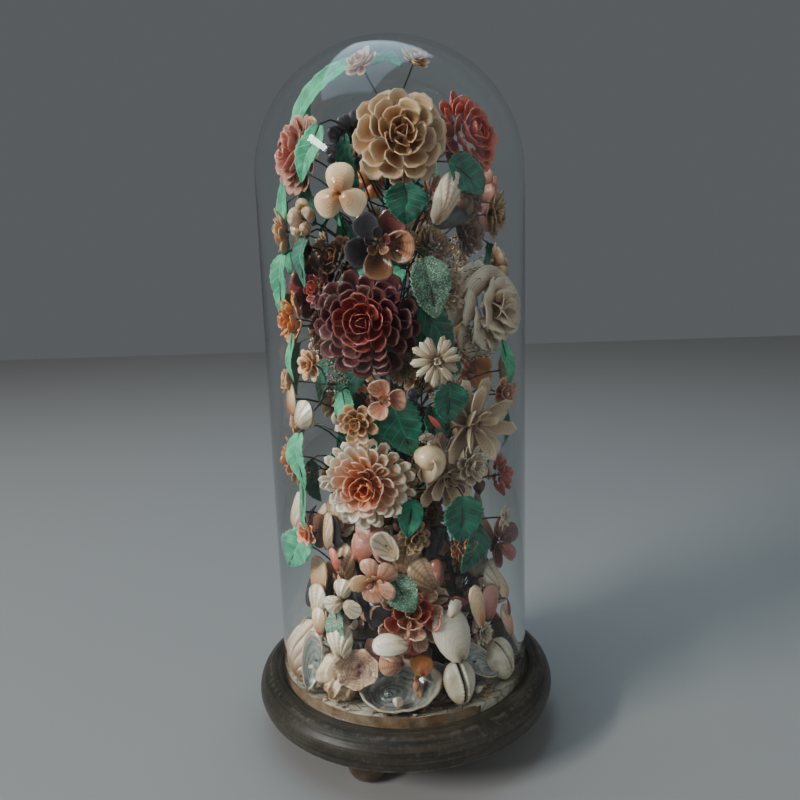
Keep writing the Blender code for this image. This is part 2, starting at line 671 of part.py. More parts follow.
def dish(name, place, turned_to, lean, spin, length, depth, finish):
    """An ear-shaped shell that lies open towards the viewer."""
    axes, middle = facing(turned_to, lean, spin), spot(*place)
    half, bowl, count = length * UNIT / 2, depth * UNIT, 14
    hinge = (-0.12, 0.0)

    def ring(share, level):
        return shell_ring(axes, middle, "ear", count, half, share, level, hinge)

    def pole(level):
        return [middle + axes @ Vector((half * hinge[0], half * hinge[1], level))]

    rings = [pole(SHELL_THICKNESS - bowl), ring(0.55, SHELL_THICKNESS - 0.8 * bowl),
             ring(0.90, -0.12 * bowl), ring(1.0, 0.0), ring(0.92, -0.42 * bowl),
             ring(0.55, -0.95 * bowl), pole(-bowl - 0.2 * SHELL_THICKNESS)]
    return lofted(name, bedded(rings), finish)


def cowrie(name, place, turned_to, lean, spin, length, width, finish):
    """A cowrie that shows its underside: an egg with a groove along it."""
    axes, middle = facing(turned_to, lean, spin), spot(*place)
    sides, stations = 8, 6
    rings = [[middle + axes @ Vector((0, 0.5 * length * UNIT, 0))]]
    for n in range(1, stations):
        s = n / stations
        half = 0.5 * width * UNIT * math.sin(math.pi * s ** 0.9) ** 0.6
        ring = []
        for i in range(sides):
            a = 2 * math.pi * i / sides
            r = half * (COWRIE_GROOVE if i == sides // 4 else 1.0)
            x, z = r * math.cos(a), COWRIE_FLATNESS * r * math.sin(a)
            ring.append(middle + axes @ Vector((x, length * UNIT * (0.5 - s), z)))
        rings.append(ring)
    rings.append([middle + axes @ Vector((0, -0.5 * length * UNIT, 0))])
    return lofted(name, bedded(rings), finish)


def whelk(name, place, turned_to, lean, spin, length, width, finish):
    """A thorny whelk: whorls that step in towards the point, with knobs round them."""
    axes, middle = facing(turned_to, lean, spin), spot(*place)
    sides = 10
    rings = [[middle + axes @ Vector((0, -0.5 * length * UNIT, 0))]]
    for s, share in WHELK_WHORLS:
        ring = []
        for i in range(sides):
            a = 2 * math.pi * i / sides
            r = 0.5 * width * UNIT * share * (1.0 if i % 2 else WHELK_KNOBS)
            ring.append(middle + axes @ Vector((r * math.cos(a), length * UNIT * (s - 0.5), r * math.sin(a))))
        rings.append(ring)
    rings.append([middle + axes @ Vector((0, 0.5 * length * UNIT, 0))])
    return lofted(name, bedded(rings), finish)


def ground_shells():
    """The large shells round the foot of the mound. Each lies on the ground, or is wired to the mound."""
    valve("cockle_large", "fan", (-68, 0, 74), -84, 14, 12, 46, 13, "tan_shell", ribbed=True)
    whelk("whelk_thorny", (-42, 0, 72), -40, 26, -14, 36, 22, "tan_shell")
    valve("oyster_pink", "fan", (-26, 28, 78), -14, 24, 0, 28, 5, "pink_shell", wired=True)
    dish("ormer_dish", (-3, 0, 70.6), -3, 56, 8, 58, 12, "nacre")
    cowrie("cowrie_front", (28, 0, 79), 26, 24, -6, 32, 23, "white_shell")
    cowrie("cowrie_right", (60, 0, 79), 46, 14, 10, 34, 23, "white_shell")
    valve("scallop_white", "oval", (28, 50, 70), 24, 12, 0, 38, 7, "white_shell", wired=True)
    valve("cockle_back_left", "fan", (-140, 0, 70), -140, 14, 0, 44, 13, "white_shell", ribbed=True)


def main():
    remove_startup_objects()
    glass_dome()
    turned_base()
    for number in range(FOOT_COUNT):
        bun_foot(number)
    ground_disc()
    edge_strip()
    shell_mound()
    wire_bundle()
    for row in BLOSSOMS:
        blossom(*row)
    for row in LEAVES:
        leaf(*row)
    for row in SPRIGS:
        sprig(*row)
    ground_shells()


main()
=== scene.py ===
"""Looks of the glass dome with its bouquet of shell flowers, on its turned base."""

import math
import random
from collections import namedtuple

import bpy
import numpy as np
from bpy.props import FloatProperty, FloatVectorProperty, IntProperty, PointerProperty
from mathutils import Matrix, Vector


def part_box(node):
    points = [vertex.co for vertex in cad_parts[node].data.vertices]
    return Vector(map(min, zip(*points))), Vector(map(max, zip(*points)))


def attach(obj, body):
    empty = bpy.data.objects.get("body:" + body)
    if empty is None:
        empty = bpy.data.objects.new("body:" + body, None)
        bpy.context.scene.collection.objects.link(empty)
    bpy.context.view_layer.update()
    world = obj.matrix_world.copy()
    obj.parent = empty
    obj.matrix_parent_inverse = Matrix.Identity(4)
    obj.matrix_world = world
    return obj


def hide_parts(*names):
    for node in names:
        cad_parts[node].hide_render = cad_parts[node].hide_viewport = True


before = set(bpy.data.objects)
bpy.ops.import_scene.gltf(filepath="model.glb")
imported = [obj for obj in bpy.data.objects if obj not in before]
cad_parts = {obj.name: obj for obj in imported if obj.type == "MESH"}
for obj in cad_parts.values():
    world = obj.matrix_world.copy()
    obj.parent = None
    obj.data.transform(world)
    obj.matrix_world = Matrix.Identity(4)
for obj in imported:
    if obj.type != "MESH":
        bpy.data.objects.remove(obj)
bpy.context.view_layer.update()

bl_info = {
    "name": "Shell flower dome",
    "version": (1, 0, 0),
    "blender": (4, 5, 0),
    "location": "View3D > Sidebar > Shell Dome",
    "description": "Dresses a glass dome, its base and its bouquet of shell flowers",
    "category": "Object",
}

BODY = "root"
TURN = 2 * math.pi
GLASS_CLEARANCE = 0.0006
LEAF_WALL = 0.02
FAN_SHARE = 0.97
COCKLE_RIBS = 9

# Places taken from the frame
GLASS_LOW, GLASS_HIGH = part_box("glass_dome")
BASE_LOW, BASE_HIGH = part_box("turned_base")
GROUND_LOW, GROUND_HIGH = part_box("ground_disc")
STRIP_LOW, STRIP_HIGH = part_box("edge_strip")
GROUND = GROUND_HIGH.z
UNIT = (GLASS_HIGH.z - GLASS_LOW.z) / 460.5

# The mound and the bundle of wires above it, as (height, radius) in units
MOUND_PROFILE = ((0, 49), (22, 50), (50, 43), (80, 38), (104, 31), (122, 19), (134, 11))
BUNDLE_FOOT_RADIUS = 8.5
BUNDLE_TOP_RADIUS = 2.6
BUNDLE_TOP = 398

# How far a wire drops from its flower to its foot, in units: to the bundle, to the mound, and how much
# more at most
DROP_TO_BUNDLE = 26
DROP_TO_MOUND = 8
FURTHER_DROP = 18

# Tiers of petals: (petals, hinge radius, petal length, petal width, lift in degrees, height),
# with the lengths as shares of the blossom's radius.
STYLES = {
    "dahlia": (
        (3, 0.02, 0.24, 0.24, 78, 0.27), (5, 0.08, 0.34, 0.30, 62, 0.25), (8, 0.17, 0.40, 0.34, 46, 0.20),
        (10, 0.30, 0.44, 0.36, 32, 0.13), (12, 0.43, 0.48, 0.37, 18, 0.05), (12, 0.54, 0.48, 0.38, 3, -0.03),
    ),
    "open_dahlia": (
        (3, 0.02, 0.24, 0.24, 78, 0.27), (5, 0.08, 0.34, 0.31, 62, 0.25), (7, 0.17, 0.42, 0.38, 44, 0.20),
        (8, 0.30, 0.48, 0.43, 28, 0.13), (9, 0.44, 0.50, 0.44, 12, 0.05), (9, 0.55, 0.48, 0.44, -4, -0.03),
    ),
    "full_dahlia": (
        (3, 0.02, 0.20, 0.20, 78, 0.27), (6, 0.06, 0.28, 0.24, 62, 0.25), (8, 0.13, 0.33, 0.27, 50, 0.21),
        (10, 0.23, 0.36, 0.29, 38, 0.16), (12, 0.34, 0.38, 0.30, 28, 0.10), (14, 0.46, 0.40, 0.30, 16, 0.04),
        (14, 0.57, 0.43, 0.31, 2, -0.03),
    ),
    "small_dahlia": (
        (4, 0.03, 0.32, 0.26, 76, 0.28), (7, 0.12, 0.42, 0.32, 56, 0.22), (9, 0.26, 0.50, 0.36, 36, 0.13),
        (11, 0.44, 0.56, 0.38, 14, 0.04),
    ),
    "quilled": (
        (5, 0.02, 0.26, 0.20, 78, 0.32), (8, 0.08, 0.34, 0.22, 64, 0.28), (12, 0.17, 0.42, 0.23, 50, 0.23),
        (16, 0.28, 0.46, 0.22, 36, 0.16), (20, 0.40, 0.50, 0.21, 22, 0.09), (22, 0.50, 0.52, 0.20, 8, 0.02),
    ),
    "blossom": (
        (5, 0.05, 0.42, 0.34, 62, 0.18), (8, 0.14, 0.86, 0.46, 14, 0.06), (7, 0.10, 0.62, 0.42, 32, 0.12)),
    "daisy": ((14, 0.16, 0.84, 0.27, 4, 0.05), (5, 0.04, 0.20, 0.16, 60, 0.12)),
    "cinquefoil": ((5, 0.14, 0.86, 0.74, 14, 0.05), (5, 0.10, 0.36, 0.26, 40, 0.14)),
    "trefoil": ((3, 0.12, 0.86, 0.84, 12, 0.05), (4, 0.08, 0.30, 0.26, 44, 0.16)),
    "cup": (
        (4, 0.05, 0.46, 0.34, 72, 0.08), (7, 0.22, 0.60, 0.44, 56, 0.04), (9, 0.42, 0.66, 0.46, 36, 0.0),
        (11, 0.62, 0.66, 0.46, 12, -0.06), (8, 0.80, 0.60, 0.44, -8, -0.12),
    ),
    "lily": (
        (7, 0.10, 0.90, 0.30, 10, 0.06), (6, 0.08, 0.70, 0.26, 32, 0.12), (5, 0.05, 0.36, 0.14, 62, 0.16)),
    "cone": (
        (5, 0.02, 0.30, 0.14, 84, 0.46), (8, 0.10, 0.36, 0.16, 70, 0.38), (11, 0.20, 0.42, 0.17, 55, 0.28),
        (14, 0.30, 0.48, 0.18, 38, 0.18), (16, 0.40, 0.56, 0.18, 20, 0.08),
    ),
    "cockle_blossom": (
        (3, 0.02, 0.34, 0.40, 72, 0.56), (6, 0.16, 0.46, 0.58, 58, 0.48), (8, 0.32, 0.52, 0.68, 44, 0.34),
        (10, 0.46, 0.54, 0.72, 24, 0.16), (10, 0.52, 0.50, 0.70, -4, -0.02),
    ),
}

# Blossoms: node, style, petal, azimuth, height of the middle, reach, diameter, turn, tilt, roll, finish
BLOSSOMS = (
    ("dahlia_cream", "open_dahlia", "clam", 6, 377, 71, 60, 0, 4, 10, "cream_shell"),
    ("dahlia_coral", "dahlia", "clam", 49, 381, 66, 57, -6, 12, 0, "coral_shell"),
    ("dahlia_mauve", "dahlia", "clam", -63, 376, 67, 54, 6, 8, 15, "mauve_shell"),
    ("dahlia_slate", "small_dahlia", "clam", -146, 395, 48, 50, 0, 24, 0, "slate_shell"),
    ("blossom_straw_left", "blossom", "quill", -81, 328, 76, 34, 0, 0, 0, "cream_shell"),
    ("blossom_straw_right", "blossom", "quill", 62, 333, 76, 34, 2, -8, 20, "tan_shell"),
    ("mussel_blossom", "cinquefoil", "mussel", -6, 314, 76, 46, 6, 0, 54, "brown_shell"),
    ("dahlia_crimson", "full_dahlia", "clam", -15, 265, 69, 74, 6, 0, 0, "crimson_shell"),
    ("blossom_orange_left", "small_dahlia", "clam", -71, 268, 74, 40, 6, 0, 0, "orange_shell"),
    ("cone_grey", "cone", "quill", 31, 284, 58, 42, 0, 10, 0, "tan_shell"),
    ("blossom_cockle", "cockle_blossom", "cockle", 76, 271, 61, 66, -26, 0, 8, "lily_shell"),
    ("daisy_white", "daisy", "rice", 18, 240, 83, 34, -8, 6, 0, "white_shell"),
    ("lily_horn", "lily", "quill", 49, 194, 66, 78, -6, 0, 8, "lily_shell"),
    ("dahlia_flame", "quilled", "quill", -17, 160, 70, 66, 6, -6, 0, "flame_shell"),
    ("blossom_rust_left", "small_dahlia", "quill", -86, 168, 74, 46, 0, 0, 0, "orange_shell"),
    ("blossom_wine_right", "cinquefoil", "mussel", 67, 105, 76, 40, -20, 0, 20, "crimson_shell"),
    ("blossom_pink_bow", "cinquefoil", "cockle", -13, 95, 80, 34, 8, 0, 40, "pink_shell"),
    ("blossom_coral_low", "cup", "clam", 5, 66, 62, 46, 4, 20, 0, "coral_shell"),
    ("dahlia_back_rose", "small_dahlia", "clam", 112, 352, 66, 62, 0, 8, 0, "mauve_shell"),
    ("dahlia_back_ivory", "small_dahlia", "clam", 176, 322, 72, 64, 0, 0, 0, "white_shell"),
    ("dahlia_back_wine", "small_dahlia", "clam", -124, 290, 72, 60, 0, 0, 0, "crimson_shell"),
    ("dahlia_back_amber", "small_dahlia", "clam", 132, 232, 72, 62, 0, 0, 0, "orange_shell"),
    ("dahlia_back_blush", "small_dahlia", "clam", -156, 196, 72, 64, 0, 0, 0, "flame_shell"),
)

# Flowers whose petals are of several shells
MIXED = {
    "mussel_blossom": ("wine_shell", "slate_shell", "slate_shell", "brown_shell", "amber_shell"),
    "blossom_pink_bow": ("pink_shell", "pink_shell", "cream_shell"),
    "blossom_coral_low": ("pink_shell", "coral_shell", "pink_shell"),
    "blossom_wine_right": ("wine_shell", "mauve_shell", "wine_shell"),
}

# Groups of whole shells on one wire: node, shell, azimuth, height, reach, across, turn, tilt, roll,
# finish, and the shells as (angle, distance, size, lift) with shares of the group's radius
CLUSTERS = (
    ("clam_trefoil", "whole_clam", -22, 344, 77, 38, 8, 0, 60, "cream_shell",
     ((30, 0.46, 1.04, 0.2), (150, 0.46, 0.98, 0.2), (268, 0.44, 0.94, 0.2))),
    ("cockle_trefoil", "whole_cockle", -31, 78, 77, 30, 10, 0, 30, "white_shell",
     ((60, 0.52, 0.94, 0.1), (180, 0.52, 0.94, 0.2), (285, 0.56, 0.94, 0.1))),
    ("snail_cluster", "snail", -52, 333, 74, 28, 0, 6, 0, "tan_shell",
     ((0, 0.0, 1.0, 0.5), (20, 0.60, 0.96, 0.1), (92, 0.62, 0.92, 0.1), (164, 0.62, 0.98, 0.1),
      (236, 0.60, 0.92, 0.1), (308, 0.62, 0.96, 0.1))),
    ("snail_brown_cluster", "snail", 37, 338, 68, 34, 0, 0, 20, "brown_shell",
     ((0, 0.0, 1.25, 0.5), (40, 0.60, 1.0, 0.1), (130, 0.60, 1.06, 0.1), (215, 0.60, 1.0, 0.1),
      (300, 0.60, 1.04, 0.1))),
    ("globe_snail", "snail", 14, 176, 79, 24, 0, 0, 0, "cream_shell", ((0, 0.0, 2.9, 0.1),)),
)

# Sprigs: node, knot (azimuth, height, reach), heads, finish. A head is (style or shell, petal, azimuth,
# height, reach, diameter, turn, tilt, finish).
SPRIGS = (
    ("sprig_top", (4, 396, 26), (
        ("blossom", "clam", -22, 428, 42, 25, 0, 38, "cream_shell"),
        ("blossom", "clam", 26, 430, 42, 22, 0, 38, "cream_shell"),
    ), "cream_shell"),
    ("sprig_pale_left", (-62, 222, 50), (
        ("blossom", "clam", -46, 238, 78, 24, 0, 0, "cream_shell"),
        ("blossom", "clam", -78, 224, 77, 30, 0, 0, "cream_shell"),
        ("whole_clam", "", -51, 204, 80, 20, 0, 0, "white_shell"),
    ), "cream_shell"),
    ("sprig_centre", (-8, 206, 54), (
        ("blossom", "clam", -18, 202, 82, 29, 10, 0, "cream_shell"),
        ("trefoil", "mussel", -5, 217, 82, 30, 0, 0, "pink_shell"),
    ), "pink_shell"),
    ("sprig_back", (-170, 250, 50), (
        ("blossom", "clam", 178, 256, 79, 30, 0, 0, "cream_shell"),
        ("trefoil", "cockle", -160, 250, 79, 28, 0, 0, "white_shell"),
    ), "white_shell"),
)

# Leaves: node, azimuth, height, reach, length, width, way of the tip, turn, tilt, curl, finish
LEAVES = (
    ("leaf_ribbon_top", -74, 417, 42, 58, 12, 33, 0, 44, 12, "pale_leaf"),
    ("leaf_pale_upper", -37, 370, 81, 36, 17, -116, 10, 0, 2, "pale_leaf"),
    ("leaf_veined_right", 37, 353, 79, 32, 26, -34, 0, 8, 3, "emerald_leaf"),
    ("leaf_left_upper", -78, 291, 80, 42, 22, -98, 30, 0, 3, "pale_leaf"),
    ("leaf_emerald_top", 6, 336, 85, 24, 27, -90, 0, 0, 3, "emerald_leaf"),
    ("leaf_mica", 16, 286, 82, 38, 28, -80, 0, 0, 3, "mica_leaf"),
    ("leaf_emerald_mid", 23, 213, 83, 26, 26, -95, 0, 0, 3, "emerald_leaf"),
    ("leaf_green_left", -54, 172, 82, 38, 20, -84, 10, 0, 3, "pale_leaf"),
    ("leaf_emerald_round", 30, 133, 80, 32, 30, -96, -10, 0, 3, "emerald_leaf"),
    ("leaf_sea_left", -67, 103, 80, 34, 26, -120, 40, 0, 3, "pale_leaf"),
    ("leaf_back_high", 148, 286, 80, 40, 24, -80, 0, 0, 3, "emerald_leaf"),
)

# Leaves without a node of their own, in the same order of values
SPARE_LEAVES = (
    (2, 198, 72, 42, 30, -70, 0, 0, 3, "emerald_leaf"),
    (-10, 196, 70, 36, 22, -130, 0, 0, 3, "emerald_leaf"),
    (-54, 306, 72, 34, 18, -100, 0, 0, 3, "emerald_leaf"),
    (26, 258, 62, 42, 22, -60, 0, 0, 3, "emerald_leaf"),
    (-62, 242, 80, 34, 7, -92, 20, 0, 2, "pale_leaf"),
    (-57, 138, 78, 42, 8, -86, 10, 0, 3, "pale_leaf"),
    (5, 136, 72, 26, 18, -100, 0, 0, 2, "emerald_leaf"),
    (40, 108, 74, 36, 24, -120, 0, 0, 3, "emerald_leaf"),
    (0, 84, 76, 28, 24, -60, 0, 10, 3, "mica_leaf"),
    (-36, 54, 76, 26, 18, -80, 0, 0, 2, "mica_leaf"),
    (70, 232, 82, 34, 12, -80, -30, 0, 2, "pale_leaf"),
    (112, 300, 78, 38, 22, -80, 0, 0, 3, "emerald_leaf"),
    (-100, 330, 78, 40, 20, -95, 0, 0, 3, "emerald_leaf"),
    (160, 262, 80, 36, 22, -60, 0, 0, 3, "pale_leaf"),
    (-108, 230, 80, 40, 22, -80, 0, 0, 3, "emerald_leaf"),
    (100, 188, 80, 40, 22, -100, 0, 0, 3, "pale_leaf"),
    (172, 176, 80, 38, 24, -80, 0, 0, 3, "emerald_leaf"),
    (-176, 130, 78, 38, 26, -95, 0, 0, 3, "emerald_leaf"),
    (128, 150, 78, 36, 22, -70, 0, 0, 3, "pale_leaf"),
    (-120, 140, 78, 38, 22, -110, 0, 0, 3, "emerald_leaf"),
)

# Small flowers without a node of their own: style, petal, azimuth, height, reach, diameter, turn,
# tilt, finish
SPARE_BLOSSOMS = (
    ("cone", "rice", 46, 44, 74, 22, 0, 10, "white_shell"),
    ("cone", "rice", 14, 189, 78, 13, 0, 55, "white_shell"),
    ("small_dahlia", "clam", 50, 344, 60, 44, 0, 10, "brown_shell"),
    ("blossom", "clam", 47, 320, 66, 34, 0, 0, "brown_shell"),
    ("lily", "quill", 30, 160, 60, 60, 0, 0, "lily_shell"),
    ("small_dahlia", "clam", -48, 288, 66, 30, 0, 0, "crimson_shell"),
    ("cone", "quill", 24, 312, 60, 34, 0, 30, "tan_shell"),
    ("blossom", "clam", 68, 212, 80, 26, -20, 0, "pink_shell"),
    ("blossom", "clam", -57, 118, 78, 20, 20, 0, "flame_shell"),
    ("small_dahlia", "clam", 36, 112, 72, 26, 0, 0, "orange_shell"),
    ("blossom", "rice", 62, 124, 80, 20, 0, 0, "white_shell"),
    ("blossom", "clam", -58, 316, 68, 26, 0, 0, "brown_shell"),
    ("small_dahlia", "clam", -44, 306, 52, 36, 0, 20, "brown_shell"),
    ("blossom", "clam", 38, 168, 78, 30, 0, 0, "white_shell"),
    ("blossom", "clam", 8, 120, 64, 26, 0, 0, "tan_shell"),
    ("small_dahlia", "clam", 96, 300, 76, 36, 0, 0, "cream_shell"),
    ("blossom", "quill", 90, 226, 78, 34, 0, 0, "white_shell"),
    ("small_dahlia", "clam", 98, 146, 76, 36, 0, 0, "coral_shell"),
    ("blossom", "clam", 150, 196, 78, 32, 0, 0, "pink_shell"),
    ("small_dahlia", "quill", 170, 222, 76, 36, 0, 0, "mauve_shell"),
    ("blossom", "clam", -108, 190, 78, 30, 0, 0, "cream_shell"),
    ("small_dahlia", "clam", -130, 240, 76, 34, 0, 0, "pink_shell"),
    ("blossom", "clam", -170, 372, 66, 36, 0, 12, "orange_shell"),
    ("small_dahlia", "clam", 150, 352, 68, 38, 0, 8, "coral_shell"),
    ("blossom", "clam", -100, 372, 70, 34, 0, 10, "white_shell"),
    ("small_dahlia", "clam", -150, 142, 74, 38, 0, 0, "white_shell"),
    ("blossom", "clam", 140, 104, 74, 34, 0, 0, "pink_shell"),
    ("small_dahlia", "quill", 176, 92, 72, 38, 0, 0, "orange_shell"),
    ("blossom", "clam", -112, 104, 76, 30, 0, 0, "mauve_shell"),
    ("blossom", "clam", -84, 102, 78, 24, 0, 0, "cream_shell"),
)

# Sprays of rice shells: azimuth, height, reach and how far they spread in degrees
SPRAYS = (
    (36, 306, 72, 16), (58, 300, 70, 14), (-50, 232, 66, 14), (30, 226, 60, 16), (150, 300, 70, 20),
    (-120, 250, 68, 20), (120, 180, 70, 20), (-30, 300, 50, 14), (60, 250, 72, 12),
)

# Long leaves along the glass: finish, width, and the places that each arches through
BLADES = (
    (0, 15, ((-74, 392, 68), (-66, 420, 60), (-40, 430, 50), (-12, 438, 26))),
    (0, 12, ((-84, 300, 74), (-86, 330, 80), (-82, 352, 78), (-80, 366, 74))),
    (1, 13, ((-24, 434, 24), (-4, 438, 26), (8, 434, 32), (14, 426, 40))),
    (1, 12, ((-60, 330, 60), (-62, 350, 66), (-60, 366, 70), (-64, 380, 66))),
)

# Shells of the lower bouquet without a node of their own: shell, azimuth, height, reach, turn, lean,
# spin, length, width, finish
SPARE_SHELLS = (
    ("cockle_back", 25, 340, 80, 0, 0, -28, 34, 16, "lily_shell"),
    ("mussel_back", 33, 330, 74, 0, 0, -66, 32, 12, "slate_shell"),
    ("snail", 8, 220, 78, 0, 10, 0, 11, 11, "slate_shell"),
    ("clam_back", -72, 212, 78, 10, 0, 20, 24, 15, "cream_shell"),
    ("cockle_back", -76, 128, 74, 10, 0, 10, 30, 20, "lily_shell"),
    ("clam_back", -60, 118, 66, 10, 0, -10, 26, 18, "brown_shell"),
    ("clam_back", -48, 132, 60, 0, 0, 10, 26, 20, "tan_shell"),
    ("clam_back", -1, 106, 56, 0, 6, 0, 29, 27, "tan_shell"),
    ("cockle_back", -40, 100, 62, 10, 0, 8, 26, 18, "tan_shell"),
    ("clam_back", -26, 112, 60, 0, 0, -20, 24, 18, "mauve_shell"),
    ("mussel_back", -44, 122, 66, 10, 0, 14, 24, 11, "slate_shell"),
    ("mussel_back", -38, 104, 74, 0, 0, 20, 17, 7, "coral_shell"),
    ("clam_back", 42, 66, 76, -10, 8, 6, 30, 12, "cream_shell"),
    ("clam_back", 58, 62, 72, -20, 4, -12, 26, 16, "mauve_shell"),
    ("mussel_back", 67, 44, 80, -30, 8, 10, 26, 9, "pink_shell"),
    ("clam_back", -7, 48, 78, 0, 34, 90, 24, 15, "ivory_shell"),
    ("clam_back", -7, 51, 78, 0, 34, 90, 19, 11, "ivory_shell"),
    ("whole_clam", -6.5, 36, 80, 0, 14, 90, 17, 17, "amber_shell"),
    ("clam_back", -49, 56, 78, 20, 10, 8, 20, 11, "cream_shell"),
    ("cockle_back", -35, 46, 76, 14, 10, 12, 25, 19, "white_shell"),
    ("mussel_open", -52, 25, 84, 10, 8, -6, 46, 20, "nacre"),
    ("limpet", 9, 30, 72, 0, 40, 0, 15, 15, "orange_shell"),
    ("mussel_open", 20, 20, 66, 0, 40, 60, 24, 16, "nacre"),
    ("mussel_open", 45, 23, 73, -10, 26, 40, 38, 20, "nacre"),
    ("snail", 38, 6, 82, 0, 20, 0, 9, 9, "white_shell"),
    ("whole_clam", 27, 70, 76, 0, 10, -30, 15, 10, "ivory_shell"),
    ("ribbon", 24, 78, 76, 0, 0, 64, 16, 5, "crimson_shell"),
    ("ribbon", 64, 62, 82, -10, 0, 12, 15, 4, "crimson_shell"),
    ("ribbon", 14, 206, 82, 0, 0, 40, 12, 4, "coral_shell"),
    ("clam_back", 14, 92, 62, 0, 10, 30, 26, 20, "tan_shell"),
    ("mussel_back", 22, 112, 60, 0, 0, -20, 26, 12, "slate_shell"),
    ("clam_back", 52, 96, 66, -10, 0, 0, 26, 22, "brown_shell"),
    ("clam_back", -16, 66, 64, 0, 10, 10, 24, 20, "slate_shell"),
    ("cockle_back", 72, 76, 66, -10, 0, 0, 26, 22, "white_shell"),
    ("clam_back", -64, 84, 66, 10, 0, 0, 28, 22, "cream_shell"),
    ("clam_back", -56, 68, 72, 10, 6, 20, 24, 18, "white_shell"),
    ("cockle_back", 98, 60, 70, 0, 6, 0, 30, 26, "cream_shell"),
    ("clam_back", 124, 66, 68, 0, 6, 20, 30, 24, "pink_shell"),
    ("clam_back", 158, 60, 68, 0, 6, -10, 30, 26, "white_shell"),
    ("cockle_back", -166, 58, 68, 0, 6, 10, 30, 26, "tan_shell"),
    ("clam_back", -116, 62, 68, 0, 6, 0, 28, 24, "cream_shell"),
    ("mussel_back", -96, 64, 68, 0, 6, 10, 32, 16, "slate_shell"),
    ("clam_back", 116, 18, 78, 0, 14, 30, 32, 26, "tan_shell"),
    ("cockle_back", 170, 20, 76, 0, 12, -10, 34, 30, "white_shell"),
    ("clam_back", -106, 18, 80, 0, 12, 10, 32, 26, "cream_shell"),
    ("mussel_open", 90, 20, 80, 0, 14, 0, 36, 18, "nacre"),
    ("mussel_open", 143, 18, 76, 0, 30, 20, 44, 30, "nacre"),
)

# Half shells, one long and one wide: depth, ribs, depth of a rib, how blunt the sides are, cells across and
# along, and the wall as a share of a petal's
SHEETS = {
    "clam": (0.28, 0, 0.0, 0.88, 9, 5, 1.0),
    "quill": (0.24, 0, 0.0, 0.66, 8, 5, 1.0),
    "rice": (-0.26, 0, 0.0, 0.66, 8, 4, 1.0),
    "mussel": (0.22, 0, 0.0, 0.88, 12, 7, 1.0),
    "cockle": (-0.28, COCKLE_RIBS, 0.020, 0.88, 27, 6, 1.0),
    "clam_back": (-0.20, 0, 0.0, 0.88, 16, 9, 1.0),
    "cockle_back": (-0.30, COCKLE_RIBS, 0.026, 0.88, 72, 9, 1.0),
    "big_cockle": (-0.34, COCKLE_RIBS, 0.042, 0.88, 120, 22, 0.8),
    "mussel_back": (-0.20, 0, 0.0, 0.88, 12, 8, 1.0),
    "mussel_open": (0.24, 0, 0.0, 0.88, 14, 9, 1.0),
    "limpet": (-0.34, 7, 0.020, 0.88, 24, 6, 1.0),
    "crumb_clam": (-0.24, 0, 0.0, 0.88, 6, 3, 0.0),
}

